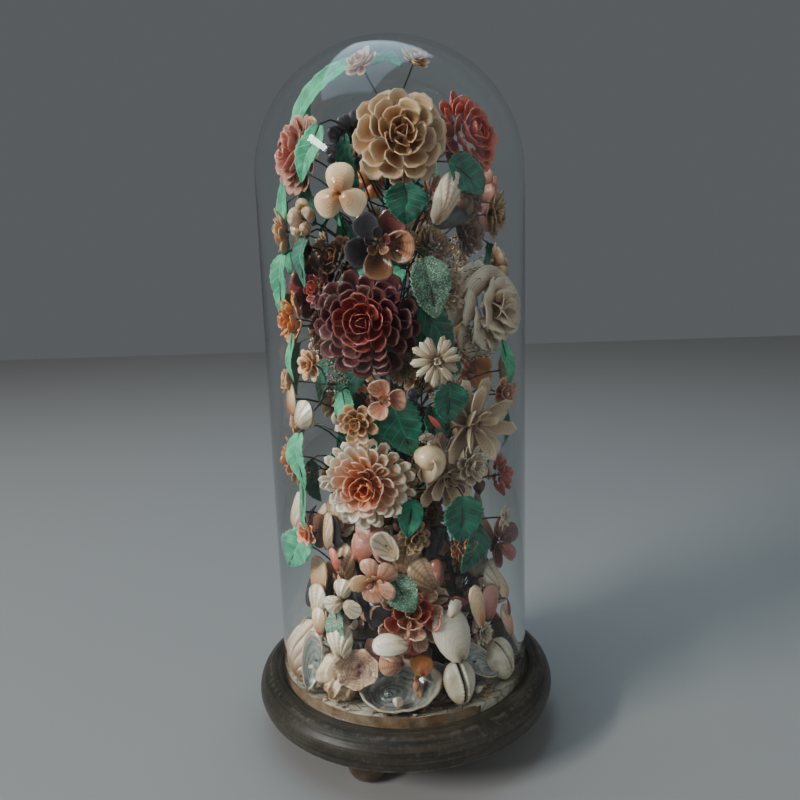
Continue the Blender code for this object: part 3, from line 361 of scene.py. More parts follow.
# Finishes: colour of the heart at the hinge and the rim, of the skirt at the hinge and the rim,
# roughness, and the strength of the growth lines and of the painted shade in the grooves between the ribs
SHELLS = {
    "cream_shell": (
        (0.30, 0.07, 0.018), (0.80, 0.45, 0.20), (0.50, 0.17, 0.05), (0.92, 0.68, 0.43), 0.20, 0.28, 0.0),
    "coral_shell": (
        (0.42, 0.015, 0.01), (0.76, 0.09, 0.055), (0.46, 0.03, 0.022), (0.84, 0.23, 0.16), 0.30, 0.35, 0.0),
    "mauve_shell": (
        (0.42, 0.03, 0.02), (0.58, 0.14, 0.09), (0.30, 0.07, 0.05), (0.64, 0.32, 0.25), 0.32, 0.40, 0.0),
    "slate_shell": (
        (0.012, 0.01, 0.014), (0.035, 0.03, 0.045), (0.01, 0.009, 0.015), (0.045, 0.04, 0.06),
        0.14, 0.35, 0.0),
    "crimson_shell": (
        (0.36, 0.01, 0.006), (0.56, 0.05, 0.03), (0.026, 0.003, 0.007), (0.16, 0.032, 0.04), 0.22, 0.35, 0.0),
    "flame_shell": (
        (0.74, 0.03, 0.003), (0.98, 0.22, 0.025), (0.92, 0.36, 0.08), (0.92, 0.83, 0.67), 0.32, 0.18, 0.0),
    "ivory_shell": (
        (0.54, 0.40, 0.24), (0.80, 0.71, 0.55), (0.60, 0.48, 0.33), (0.88, 0.82, 0.70), 0.24, 0.20, 0.0),
    "orange_shell": (
        (0.34, 0.055, 0.01), (0.74, 0.22, 0.035), (0.44, 0.12, 0.02), (0.80, 0.36, 0.10), 0.34, 0.45, 0.0),
    "white_shell": (
        (0.50, 0.31, 0.13), (0.80, 0.69, 0.50), (0.56, 0.42, 0.25), (0.88, 0.80, 0.64), 0.28, 0.30, 0.55),
    "tan_shell": (
        (0.20, 0.085, 0.035), (0.62, 0.40, 0.21), (0.38, 0.20, 0.10), (0.80, 0.60, 0.40), 0.38, 0.60, 0.60),
    "brown_shell": (
        (0.05, 0.02, 0.01), (0.26, 0.105, 0.04), (0.03, 0.013, 0.009), (0.20, 0.085, 0.042), 0.20, 0.45, 0.0),
    "pink_shell": (
        (0.44, 0.08, 0.035), (0.74, 0.33, 0.20), (0.56, 0.21, 0.11), (0.88, 0.60, 0.43), 0.24, 0.45, 0.40),
    "amber_shell": (
        (0.20, 0.05, 0.03), (0.50, 0.19, 0.08), (0.22, 0.08, 0.06), (0.74, 0.48, 0.32), 0.08, 0.75, 0.60),
    "wine_shell": (
        (0.06, 0.008, 0.008), (0.16, 0.02, 0.02), (0.05, 0.007, 0.008), (0.17, 0.03, 0.03), 0.15, 0.30, 0.0),
    "ribbed_shell": (
        (0.32, 0.16, 0.07), (0.62, 0.44, 0.27), (0.36, 0.19, 0.09), (0.80, 0.66, 0.48), 0.38, 0.20, 1.0),
    "ruffled_shell": (
        (0.16, 0.07, 0.06), (0.46, 0.25, 0.13), (0.24, 0.11, 0.10), (0.78, 0.62, 0.47), 0.07, 0.70, 0.15),
    "lily_shell": (
        (0.50, 0.27, 0.13), (0.86, 0.67, 0.46), (0.60, 0.39, 0.23), (0.95, 0.83, 0.66), 0.34, 0.40, 0.0),
}

# Finishes that share a slot of the record with another
SLOTS = {"lily_shell": "tan_shell", "amber_shell": "pink_shell", "ivory_shell": "white_shell",
         "wine_shell": "crimson_shell", "ribbed_shell": "tan_shell", "ruffled_shell": "pink_shell"}

# Leaf finishes: dark, light, vein and the share of mica
CLOTHS = {
    "emerald_leaf": ((0.0008, 0.038, 0.022), (0.003, 0.20, 0.11), (0.015, 0.36, 0.20), 0.0),
    "pale_leaf": ((0.008, 0.15, 0.065), (0.06, 0.48, 0.25), (0.20, 0.66, 0.40), 0.0),
    "mica_leaf": ((0.02, 0.07, 0.035), (0.10, 0.26, 0.15), (0.26, 0.38, 0.26), 1.0),
}


# Property groups

class GlassSizes(bpy.types.PropertyGroup):
    wall: FloatProperty(
        name="Wall", description="Thickness of the blown glass", default=0.0025, unit="LENGTH")
    cap: FloatProperty(
        name="Cap", description="Height of the rounded top as a share of the radius", default=0.975)
    facets: IntProperty(name="Facets", description="Steps round the dome", default=144)
    tint: FloatVectorProperty(
        name="Tint", description="Colour of the glass", subtype="COLOR", default=(0.955, 0.985, 0.975))


class WoodColours(bpy.types.PropertyGroup):
    paint: FloatVectorProperty(
        name="Paint", description="Worn paint on the base", subtype="COLOR", default=(0.020, 0.018, 0.014))
    worn: FloatVectorProperty(
        name="Worn paint", description="Where the paint has thinned", subtype="COLOR",
        default=(0.090, 0.068, 0.040))
    bare: FloatVectorProperty(
        name="Bare", description="Chips and rubbed edges", subtype="COLOR", default=(0.42, 0.34, 0.22))
    foot: FloatVectorProperty(
        name="Feet", description="Varnish on the feet", subtype="COLOR", default=(0.150, 0.095, 0.062))


class BouquetSizes(bpy.types.PropertyGroup):
    wire: FloatProperty(name="Wire", description="Radius of a wrapped wire", default=0.0006, unit="LENGTH")
    petal_wall: FloatProperty(
        name="Petal wall", description="Thickness of a petal, for each metre of its length", default=0.045)
    crust: IntProperty(name="Crust", description="Small shells on the mound", default=260)
    filling: IntProperty(name="Filling", description="Small shells deep among the lower flowers", default=165)
    grit: IntProperty(name="Grit", description="Bits on the ground", default=320)
    seed: IntProperty(name="Seed", description="Start of the random draws", default=7)


class StageSizes(bpy.types.PropertyGroup):
    floor: FloatProperty(name="Floor", description="Width of the floor", default=6.0, unit="LENGTH")
    key: FloatProperty(name="Key light", description="Power of the main softbox", default=48.0, unit="POWER")
    fill: FloatProperty(name="Fill light", description="Power of the fill", default=7.0, unit="POWER")
    focal: FloatProperty(name="Lens", description="Focal length of the camera in millimetres", default=31.5)


# Meshes

# One modelled shell or leaf, kept as arrays so that each copy gets its own mesh
Master = namedtuple("Master", "points faces uv")


def deselect_all():
    if bpy.context.object and bpy.context.object.mode != "OBJECT":
        bpy.ops.object.mode_set(mode="OBJECT")
    bpy.ops.object.select_all(action="DESELECT")


def new_object(name, points, edges, faces):
    """A mesh object in the scene, active and alone selected."""
    deselect_all()
    mesh = bpy.data.meshes.new(name)
    mesh.from_pydata(points, edges, faces)
    obj = bpy.data.objects.new(name, mesh)
    bpy.context.scene.collection.objects.link(obj)
    bpy.context.view_layer.objects.active = obj
    obj.select_set(True)
    return obj


def merge_and_face_out(threshold):
    """Merges points of the active piece that meet, and makes its faces look outwards."""
    bpy.ops.object.mode_set(mode="EDIT")
    bpy.ops.mesh.select_all(action="SELECT")
    bpy.ops.mesh.remove_doubles(threshold=threshold)
    bpy.ops.mesh.normals_make_consistent(inside=False)
    bpy.ops.object.mode_set(mode="OBJECT")


def finish_modifier(obj, kind, **settings):
    """Adds a modifier with its settings and applies it."""
    bpy.context.view_layer.objects.active = obj
    modifier = obj.modifiers.new(kind.title(), kind)
    for key, value in settings.items():
        setattr(modifier, key, value)
    bpy.ops.object.modifier_apply(modifier=modifier.name)


def kept_in_glass(points):
    """Draws back what would reach past the inside of the glass."""
    glass = bpy.context.scene.dome_glass
    inset = glass.wall + GLASS_CLEARANCE
    inside = GLASS_HIGH.x - inset
    rise = inside * glass.cap
    above = np.maximum(points[:, 2] - (GLASS_HIGH.z - inset - rise), 0.0)
    reach = np.sqrt((points[:, 0] ** 2 + points[:, 1] ** 2) / inside ** 2 + (above / rise) ** 2)
    over = np.maximum(reach, 1.0)
    points[:, 0] /= over
    points[:, 1] /= over
    points[:, 2] -= above * (1 - 1 / over)
    return points


class Heap:
    """Copies of masters, gathered into one mesh with a bloom and a tone for every point."""

    def __init__(self):
        self.points, self.faces, self.slots, self.uv, self.bloom, self.tone = [], [], [], [], [], []
        self.count = 0

    def add(self, master, matrix=Matrix.Identity(4), bloom=0.0, tone=0.5, slot=0):
        turn = np.array(matrix.to_3x3())
        place = np.array(matrix.to_translation())
        self.points.append(master.points @ turn.T + place)
        self.faces += [tuple(i + self.count for i in face) for face in master.faces]
        self.slots += [slot] * len(master.faces)
        self.uv.append(master.uv)
        size = len(master.points)
        self.bloom.append(np.full(size, bloom))
        self.tone.append(np.full(size, tone))
        self.count += size

    def add_rings(self, rings, slot=0, tone=0.5):
        """A closed tube through rings of as many points each."""
        self.add(tube_master(rings), bloom=0.5, tone=tone, slot=slot)

    def build(self, name, finishes):
        obj = new_object(name, kept_in_glass(np.concatenate(self.points)).tolist(), [], self.faces)
        mesh = obj.data
        for finish in finishes:
            mesh.materials.append(FINISHES[finish])
        mesh.polygons.foreach_set("material_index", self.slots)
        mesh.uv_layers.new(name="UVMap").data.foreach_set("uv", np.concatenate(self.uv).ravel())
        for label, values in (("bloom", self.bloom), ("tone", self.tone)):
            mesh.attributes.new(label, "FLOAT", "POINT").data.foreach_set("value", np.concatenate(values))
        mesh.shade_smooth()
        return obj


def master_of(obj):
    """The master that an object's mesh makes. The object itself goes."""
    mesh = obj.data
    points = np.empty((len(mesh.vertices), 3))
    mesh.vertices.foreach_get("co", points.ravel())
    faces = [tuple(face.vertices) for face in mesh.polygons]
    uv = np.empty(len(mesh.loops) * 2)
    mesh.uv_layers.active.data.foreach_get("uv", uv)
    bpy.data.objects.remove(obj, do_unlink=True)
    return Master(points, faces, uv.reshape(-1, 2))


def tube_master(rings):
    """A closed tube through rings of as many points each, unrolled round and along for its map."""
    sides, steps = len(rings[0]), len(rings) - 1
    faces = [tuple(range(sides))[::-1], tuple(steps * sides + k for k in range(sides))]
    for i in range(steps):
        for k in range(sides):
            a, b = i * sides + k, i * sides + (k + 1) % sides
            faces.append((a, b, b + sides, a + sides))
    corners = np.concatenate(faces)
    uv = np.column_stack((corners % sides / sides, corners // sides / steps))
    return Master(np.array([point for ring in rings for point in ring], float), faces, uv)


def grid_sheet(across, along, shape, wall):
    """A grid laid into its shape, with its hinge points merged and its wall added."""
    deselect_all()
    bpy.ops.mesh.primitive_grid_add(x_subdivisions=across, y_subdivisions=along, size=1)
    obj = bpy.context.object
    for vertex in obj.data.vertices:
        vertex.co = shape(vertex.co.x + 0.5, vertex.co.y + 0.5)
    merge_and_face_out(0.0005)
    if wall:
        finish_modifier(obj, "SOLIDIFY", thickness=wall, offset=0.0)
    return obj


def shell_shape(depth, ribs, rib_depth, blunt):
    """A half shell that opens along +Y from its hinge, as a function of its fan and its growth."""
    def shape(u, v):
        fan = (u - 0.5) * math.pi * FAN_SHARE
        growth = v ** 0.8
        reach = growth * math.cos(fan)
        along = reach * math.cos(fan)
        bowl = math.sin(math.pi * min(1.0, growth ** 0.60) * 0.97) * math.cos(fan) ** 0.6
        relief = rib_depth * math.cos(2 * ribs * fan) * growth if ribs else 0.0
        side = reach * math.sin(fan)
        side = math.copysign(0.5 * abs(2 * side) ** blunt, side)
        return Vector(((0.78 + 0.42 * along) * side, along, relief - depth * bowl))
    return shape


def smooth_step(value, low, high):
    share = min(1.0, max(0.0, (value - low) / (high - low)))
    return share * share * (3 - 2 * share)


def leaf_shape(teeth, waviness):
    """A toothed leaf along +Y with a folded rib and raised side veins, one long and one wide."""
    def shape(u, v):
        side = (u - 0.5) * 2
        half = 0.5 * math.sin(math.pi * min(1.0, v * 0.97 + 0.03) ** 0.78) ** 0.72
        tooth = 1.0 - 0.16 * ((v * teeth) % 1.0) * smooth_step(abs(side), 0.6, 1.0)
        x = side * half * tooth
        vein = max(0.0, math.cos(TURN * (v * 6 - abs(side) * 1.1))) ** 3
        pucker = waviness * math.sin(17 * v + 3 * side) * math.sin(5 * side + 2 * v) * abs(side)
        z = 0.16 * abs(x) + 0.016 * vein * abs(side) - 0.03 * (1 - abs(side)) ** 6 + pucker
        return Vector((x, v - 0.5, z))
    return shape


def spiral_master(turns, growth, rise, sides, steps, spikes=0, spike=0.0, tube=0.29):
    """A coiled shell: a tube that grows as it winds round +Y, about one long and one wide."""
    total = TURN * turns
    rings = []
    for i in range(steps + 1):
        turn = total * i / steps
        scale = math.exp(growth * (turn - total))
        thorn = spike * max(0.0, math.cos(spikes * turn)) ** 4 if spikes else 0.0
        ring = []
        for k in range(sides):
            a = TURN * k / sides
            shoulder = max(0.0, math.cos(a - 0.75)) ** 6 + 0.6 * max(0.0, math.cos(a + 0.35)) ** 6
            r = tube * scale * (1 + thorn * shoulder)
            out = (0.5 - tube) * scale + r * math.cos(a)
            y = -rise * scale + rise * 0.5 + r * 1.05 * math.sin(a)
            ring.append((out * math.cos(turn), y, out * math.sin(turn)))
        rings.append(ring)
    return tube_master(rings)


def whole_master(name, across, along):
    """A closed shell: two half shells of a sheet that meet at their rims."""
    half = master_of(grid_sheet(across, along, shell_shape(0.34, *SHEETS[name][1:4]), 0.0))
    heap = Heap()
    heap.add(half)
    heap.add(half, Matrix.Diagonal((1, 1, -1, 1)))
    obj = new_object(name, np.concatenate(heap.points).tolist(), [], heap.faces)
    obj.data.uv_layers.new(name="UVMap").data.foreach_set("uv", np.concatenate(heap.uv).ravel())
    merge_and_face_out(0.004)
    return master_of(obj)


MASTERS = {}


def make_masters(wall):
    """Every shell and leaf that is copied, each modelled once."""
    for name, (*form, across, along, share) in SHEETS.items():
        MASTERS[name] = master_of(grid_sheet(across, along, shell_shape(*form), wall * share))
    MASTERS["whole_clam"] = whole_master("clam", 22, 12)
    MASTERS["whole_cockle"] = whole_master("cockle", 54, 10)
    MASTERS["snail"] = spiral_master(3.0, 0.15, 0.30, 14, 60, tube=0.39)
    MASTERS["crumb_snail"] = spiral_master(2.0, 0.16, 0.24, 6, 14)
    MASTERS["turret"] = spiral_master(6.0, 0.085, 1.05, 10, 84)
    MASTERS["whelk"] = spiral_master(4.2, 0.105, 0.62, 24, 400, spikes=8, spike=0.9)
    MASTERS["leaf"] = master_of(grid_sheet(14, 44, leaf_shape(11, 0.034), LEAF_WALL))
    MASTERS["ribbon"] = master_of(grid_sheet(8, 40, leaf_shape(7, 0.01), LEAF_WALL))


def spun(name, profile, steps, finish, wear=None):
    """A closed turned piece: its outline is spun about the axis, then merged and made to face out."""
    edges = [(i, i + 1) for i in range(len(profile) - 1)]
    obj = new_object(name, [(r, 0.0, z) for r, z in profile], edges, [])
    bpy.ops.object.mode_set(mode="EDIT")
    bpy.ops.mesh.select_all(action="SELECT")
    bpy.ops.mesh.spin(steps=steps, angle=TURN, center=(0, 0, 0), axis=(0, 0, 1))
    merge_and_face_out(0.00001)
    mesh = obj.data
    lengths = [0.0]
    for (r0, z0), (r1, z1) in zip(profile, profile[1:]):
        lengths.append(lengths[-1] + math.hypot(r1 - r0, z1 - z0))
    outline = np.array(profile)
    bloom = mesh.attributes.new("bloom", "FLOAT", "POINT") if wear else None
    turn_of, along_of = {}, {}
    for vertex in mesh.vertices:
        r, z = math.hypot(vertex.co.x, vertex.co.y), vertex.co.z
        nearest = int(np.argmin(np.hypot(outline[:, 0] - r, outline[:, 1] - z)))
        along_of[vertex.index] = lengths[nearest] * 10
        turn_of[vertex.index] = math.atan2(vertex.co.y, vertex.co.x) / TURN + 0.5
        if bloom:
            bloom.data[vertex.index].value = wear(r, z)
    layer = mesh.uv_layers.new(name="UVMap")
    for face in mesh.polygons:
        turns = [turn_of[i] for i in face.vertices]
        for loop, turn in zip(face.loop_indices, turns):
            wrapped = turn + 1.0 if max(turns) - turn > 0.5 else turn
            layer.data[loop].uv = (wrapped, along_of[mesh.loops[loop].vertex_index])
    mesh.materials.append(FINISHES[finish])
    mesh.shade_smooth()
    mesh.set_sharp_from_angle(angle=math.radians(50))
    return obj


def smooth_line(points, steps):
    """A smooth outline that passes through the given points."""
    line = []
    for i in range(len(points) - 1):
        before, a = points[max(i - 1, 0)], points[i]
        b, after = points[i + 1], points[min(i + 2, len(points) - 1)]
        for k in range(steps):
            t = k / steps
            weights = (-t + 2 * t * t - t ** 3, 2 - 5 * t * t + 3 * t ** 3, t + 4 * t * t - 3 * t ** 3,
                       t ** 3 - t * t)
            through = (before, a, b, after)
            line.append(tuple(sum(w * p[n] for w, p in zip(weights, through)) / 2 for n in (0, 1)))
    return [*line, points[-1]]


def arc(centre, radii, start, end, steps):
    """Points along an elliptical arc, from one angle to another in degrees."""
    points = []
    for i in range(steps + 1):
        a = math.radians(start + (end - start) * i / steps)
        points.append((centre[0] + radii[0] * math.cos(a), centre[1] + radii[1] * math.sin(a)))
    return points


# Places in the bouquet

def radial(azimuth):
    a = math.radians(azimuth)
    return Vector((math.sin(a), -math.cos(a), 0.0))


def spot(azimuth, height, reach):
    """A point of the bouquet, from an azimuth in degrees and lengths in units."""
    return radial(azimuth) * reach * UNIT + Vector((0.0, 0.0, GROUND + height * UNIT))


def facing(azimuth, tilt, roll=0.0):
    """Axes of a piece that faces outwards: right, up and out, as the columns of a matrix."""
    lift = math.radians(tilt)
    out = radial(azimuth) * math.cos(lift) + Vector((0.0, 0.0, math.sin(lift)))
    right = Vector((-out.y, out.x, 0.0)).normalized()
    axes = Matrix((right, out.cross(right), out)).transposed()
    return axes @ Matrix.Rotation(math.radians(roll), 3, "Z")


def carrier_radius(height):
    """How far the mound, or the bundle of wires above it, reaches at a height, all in units."""
    low, high = MOUND_PROFILE[0], MOUND_PROFILE[-1]
    if height > high[0]:
        share = (height - high[0]) / (BUNDLE_TOP - high[0])
        return BUNDLE_FOOT_RADIUS + (BUNDLE_TOP_RADIUS - BUNDLE_FOOT_RADIUS) * share
    for high in MOUND_PROFILE[1:]:
        if height <= high[0]:
            break
        low = high
    share = max(0.0, (height - low[0]) / (high[0] - low[0]))
    return low[1] + (high[1] - low[1]) * share


def bezier(points, t):
    while len(points) > 1:
        points = [a.lerp(b, t) for a, b in zip(points, points[1:])]
    return points[0]


def tube_rings(spine, radius, sides, across=Vector((1.0, 0.3, 0.1))):
    """Rings of even thickness along a list of points, the first one turned towards across."""
    rings = []
    last = len(spine) - 1
    for i, point in enumerate(spine):
        ahead = (spine[min(i + 1, last)] - spine[max(i - 1, 0)]).normalized()
        across = (across - ahead * across.dot(ahead)).normalized()
        other = ahead.cross(across)
        turns = [TURN * k / sides for k in range(sides)]
        rings.append([point + (across * math.cos(t) + other * math.sin(t)) * radius for t in turns])
    return rings


def wire_rings(control, radius, steps=9, sides=6):
    """Rings of a wire along a smooth curve."""
    spine = [bezier(control, i / steps) for i in range(steps + 1)]
    return tube_rings(spine, radius, sides, Vector((0.3, 0.2, 1.0)))


def hold(heap, start, inwards, radius, slot):
    """The wire from the back of a piece to the bundle or the mound."""
    height = (start.z - GROUND) / UNIT
    drop = DROP_TO_BUNDLE if height - DROP_TO_BUNDLE > MOUND_PROFILE[-1][0] else DROP_TO_MOUND
    drop += FURTHER_DROP * abs(math.sin(start.x * 2900 + start.z * 1700))
    foot_height = max(2.0, min(height - drop, BUNDLE_TOP - 6))
    out = Vector((start.x, start.y, 0.0)).normalized()
    foot = out * (carrier_radius(foot_height) - 1.0) * UNIT
    foot.z = GROUND + foot_height * UNIT
    reach = (start - foot).length
    control = [start, start + inwards * reach * 0.4, foot + out * reach * 0.3, foot]
    heap.add_rings(wire_rings(control, radius), slot)


def placed(axes, middle, local):
    """The matrix of a local place on a head whose axes and middle are given."""
    return Matrix.Translation(middle) @ axes.to_4x4() @ local


def hinged(length, width, depth):
    """The size of a shell whose hinge lies half its length below its middle."""
    return Matrix.Translation((0, -0.5 * length, 0)) @ Matrix.Diagonal((width, length, depth, 1))


def petal_matrix(angle, hinge, length, width, lift, level, twist):
    """A petal's own place on its head: hinged at a radius, and lifted from the rim plane."""
    c, s = math.cos(lift), math.sin(lift)
    along = Vector((math.cos(angle) * c, math.sin(angle) * c, s))
    out = Vector((-math.cos(angle) * s, -math.sin(angle) * s, c))
    turn = Matrix((along.cross(out), along, out)).transposed().to_4x4()
    at = Matrix.Translation((math.cos(angle) * hinge, math.sin(angle) * hinge, level))
    size = Matrix.Diagonal((width, length, math.sqrt(length * width), 1))
    return at @ turn @ Matrix.Rotation(twist, 4, "Y") @ size


def add_head(heap, draw, style, petal, axes, middle, radius, slots):
    """All petals of one blossom, tier by tier, with a little of the maker's unevenness."""
    for n, (count, hinge, length, width, lift, level) in enumerate(STYLES[style]):
        bloom = min(1.0, hinge * 2.2 + length * 0.1)
        for i in range(count):
            angle = TURN * (i + 0.5 * (n % 2)) / count + draw.uniform(-0.13, 0.13)
            tip = math.radians(lift + draw.uniform(-11, 10))
            size = radius * length * draw.uniform(0.86, 1.05)
            local = petal_matrix(angle, hinge * radius, size, radius * width * draw.uniform(0.98, 1.22),
                                 tip, level * radius, draw.uniform(-0.36, 0.36))
            slot = slots[(i + n) % len(slots)]
            heap.add(MASTERS[petal], placed(axes, middle, local), bloom, draw.random(), slot)


def add_heart(heap, draw, axes, middle, radius, slot):
    """A few beads in the middle of a small flower."""
    away, rise, size = 0.09 * radius, 0.17 * radius, 0.17 * radius
    for i in range(5):
        angle = TURN * i / 5
        local = Matrix.Translation((math.cos(angle) * away, math.sin(angle) * away, rise))
        local = local @ Matrix.Rotation(angle, 4, "Z") @ Matrix.Scale(size, 4)
        heap.add(MASTERS["crumb_snail"], placed(axes, middle, local), 0.0, draw.random(), slot)


def ride_as(obj, slot, *nodes):
    """Lets a finished piece ride on the body and stand for its nodes. The slot is not used."""
    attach(obj, BODY)
    if nodes:
        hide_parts(*nodes)


# Shader nodes

def plug(tree, socket, value):
    """Gives a socket a value of its own, or links another socket to it."""
    if isinstance(value, bpy.types.NodeSocket):
        tree.links.new(value, socket)
    elif socket.type == "RGBA":
        socket.default_value = (*value[:3], 1.0)
    else:
        socket.default_value = value


def fill_in(tree, node, **values):
    """Sets a node's inputs and properties. An input's name has _ for each space."""
    for key, value in values.items():
        socket = node.inputs.get(key.replace("_", " "))
        if socket:
            plug(tree, socket, value)
        else:
            setattr(node, key, value)
    return node


def add_node(tree, kind, **values):
    return fill_in(tree, tree.nodes.new(kind), **values)


def blended(tree, share, first, second, mode="MIX"):
    """The mix of two colours, each a value or a socket."""
    node = add_node(tree, "ShaderNodeMix", data_type="RGBA", blend_type=mode, clamp_factor=True)
    for index, value in ((0, share), (6, first), (7, second)):
        plug(tree, node.inputs[index], value)
    return node.outputs[2]


def darker(tree, share, colour, by):
    """A colour, multiplied by another as far as the share says."""
    return blended(tree, share, colour, blended(tree, 1.0, colour, by, "MULTIPLY"))


def maths(tree, operation, first, second=0.0):
    node = add_node(tree, "ShaderNodeMath", operation=operation)
    plug(tree, node.inputs[0], first)
    plug(tree, node.inputs[1], second)
    return node.outputs[0]


def times(tree, first, second):
    return maths(tree, "MULTIPLY", first, second)


def remapped(tree, value, low, high, to_low=0.0, to_high=1.0):
    node = add_node(tree, "ShaderNodeMapRange", clamp=True, Value=value, From_Min=low, From_Max=high,
                    To_Min=to_low, To_Max=to_high)
    return node.outputs["Result"]


def wave(tree, kind, value, count):
    """A wave from 0 to 1 that comes back as often as counted along the value."""
    turns = times(tree, times(tree, value, count), TURN)
    return maths(tree, "ADD", times(tree, maths(tree, kind, turns), 0.5), 0.5)


def object_place(tree):
    return tree.nodes.new("ShaderNodeTexCoord").outputs["Object"]


def noise(tree, where, scale, detail, **values):
    return add_node(tree, "ShaderNodeTexNoise", Vector=where, Scale=scale, Detail=detail, **values).outputs[0]


def from_mesh(tree, name):
    """A value that the mesh holds for every point."""
    return add_node(tree, "ShaderNodeAttribute", attribute_name=name).outputs["Fac"]


def own_map(tree):
    """The piece's own UV map."""
    return add_node(tree, "ShaderNodeUVMap", uv_map="UVMap").outputs[0]


def group(name, outputs, **inputs):
    """An empty node group of plain numbers: its inputs with their defaults, and its outputs."""
    tree = bpy.data.node_groups.new(name, "ShaderNodeTree")
    for label, default in inputs.items():
        socket = tree.interface.new_socket(label, in_out="INPUT", socket_type="NodeSocketFloat")
        socket.default_value = default
    for label in outputs:
        tree.interface.new_socket(label, in_out="OUTPUT", socket_type="NodeSocketFloat")
    return tree, tree.nodes.new("NodeGroupInput").outputs, tree.nodes.new("NodeGroupOutput")


def use_group(tree, name, **values):
    return add_node(tree, "ShaderNodeGroup", node_tree=bpy.data.node_groups[name], **values).outputs


def make_dust_group():
    """Dust and grime: a mask of soft patches, and a finer speckle."""
    tree, given, result = group("dust", ("Mask", "Speck"), Scale=60.0, Amount=0.5)
    where = object_place(tree)
    patches = noise(tree, where, given["Scale"], 5.0)
    specks = noise(tree, where, times(tree, given["Scale"], 9.0), 3.0)
    fill_in(tree, result, Mask=times(tree, remapped(tree, patches, 0.42, 0.72), given["Amount"]),
            Speck=remapped(tree, specks, 0.56, 0.66))


def make_growth_group():
    """Growth lines across a shell and a wave that follows its ribs, from its own UV map."""
    tree, given, result = group("growth_lines", ("Line", "Ray", "Along"), Lines=9.0, Rays=12.0)
    place = add_node(tree, "ShaderNodeSeparateXYZ", Vector=own_map(tree)).outputs
    shift = times(tree, noise(tree, object_place(tree), 180.0, 2.0), 0.16)
    fill_in(tree, result, Line=wave(tree, "SINE", maths(tree, "ADD", place[1], shift), given["Lines"]),
            Ray=wave(tree, "COSINE", maths(tree, "SUBTRACT", place[0], 0.5), given["Rays"]), Along=place[1])


# Materials

FINISHES = {}


def new_material(name):
    material = bpy.data.materials.new(f"{name}_finish")
    FINISHES[name] = material
    material.use_nodes = True
    tree = material.node_tree
    return tree, tree.nodes["Principled BSDF"]


def add_bump(tree, shader, height, strength, distance):
    bump = add_node(tree, "ShaderNodeBump", Strength=strength, Distance=distance, Height=height)
    plug(tree, shader.inputs["Normal"], bump.outputs[0])


def dusted(tree, colour, dust_colour, scale, amount):
    """A colour under its dust, and the outputs of that dust."""
    dust = use_group(tree, "dust", Scale=scale, Amount=amount)
    return blended(tree, dust["Mask"], colour, dust_colour), dust


def shell_material(name, heart_hinge, heart_rim, skirt_hinge, skirt_rim, roughness, lines, groove_shade_strength):
    """Glazed shell: its colour runs from hinge to rim and from the flower's heart to its skirt, with painted
    shade in the grooves between the ribs and a painted highlight along the lip.
    """
    tree, shader = new_material(name)
    growth = use_group(tree, "growth_lines", Rays=COCKLE_RIBS * FAN_SHARE)
    tone = from_mesh(tree, "tone")
    along = remapped(tree, growth["Along"], 0.05, 0.85)
    heart = blended(tree, along, heart_hinge, heart_rim)
    skirt = blended(tree, along, skirt_hinge, skirt_rim)
    colour = blended(tree, remapped(tree, from_mesh(tree, "bloom"), 0.15, 0.85), heart, skirt)
    colour = darker(tree, times(tree, growth["Line"], lines), colour, (0.56, 0.42, 0.34))
    # Painted shade: the grooves between the ribs are darkened to brown where the rib wave is low.
    if groove_shade_strength:
        painted_groove_shade = times(tree, remapped(tree, growth["Ray"], 0.45, 0.05), groove_shade_strength)
        colour = darker(tree, painted_groove_shade, colour, (0.42, 0.30, 0.22))
    colour = darker(tree, remapped(tree, tone, 0.0, 0.7, 0.55, 0.0), colour, (0.50, 0.40, 0.38))
    colour = blended(tree, remapped(tree, tone, 0.7, 1.0, 0.0, 0.07), colour, (0.80, 0.70, 0.56))
    # Painted highlight: a pale band along the lip of every petal, where light catches its edge.
    painted_rim_highlight = blended(tree, 0.30, skirt_rim, (0.78, 0.70, 0.60))
    colour = blended(tree, remapped(tree, growth["Along"], 0.88, 0.99, 0.0, 0.20), colour, painted_rim_highlight)
    colour, dust = dusted(tree, colour, (0.30, 0.25, 0.18), 90.0, 0.10)
    rough = maths(tree, "ADD", times(tree, dust["Mask"], 0.9), roughness)
    fill_in(tree, shader, Base_Color=colour, Roughness=rough, Coat_Weight=0.35, Coat_Roughness=0.16,
            Subsurface_Weight=0.08, Subsurface_Radius=(0.004, 0.002, 0.001))
    add_bump(tree, shader, growth["Line"], 0.35, 0.0003)


def nacre_material():
    """Mother-of-pearl: soft bands of blue-grey, green and rose under a clear glaze."""
    tree, shader = new_material("nacre")
    clouds = noise(tree, object_place(tree), 70.0, 3.0, Distortion=1.6)
    ramp = tree.nodes.new("ShaderNodeValToRGB")
    stops = ((0.30, (0.05, 0.045, 0.05)), (0.42, (0.17, 0.18, 0.18)), (0.50, (0.12, 0.19, 0.16)),
             (0.58, (0.28, 0.27, 0.27)), (0.72, (0.44, 0.38, 0.35)))
    while len(ramp.color_ramp.elements) < len(stops):
        ramp.color_ramp.elements.new(0.5)
    for element, (at, colour) in zip(ramp.color_ramp.elements, stops):
        element.position = at
        element.color = (*colour, 1.0)
    plug(tree, ramp.inputs[0], clouds)
    growth = use_group(tree, "growth_lines", Lines=7.0)
    banded = blended(tree, times(tree, growth["Line"], 0.5), ramp.outputs[0], (0.52, 0.50, 0.47))
    rim = remapped(tree, growth["Along"], 0.84, 0.97, 0.0, 0.85)
    colour, _ = dusted(tree, blended(tree, rim, banded, (0.62, 0.50, 0.36)), (0.30, 0.26, 0.20), 70.0, 0.3)
    fill_in(tree, shader, Base_Color=colour, Roughness=remapped(tree, clouds, 0.3, 0.7, 0.12, 0.30),
            Metallic=0.25, Coat_Weight=0.6, Coat_Roughness=0.1)
    add_bump(tree, shader, clouds, 0.4, 0.0006)


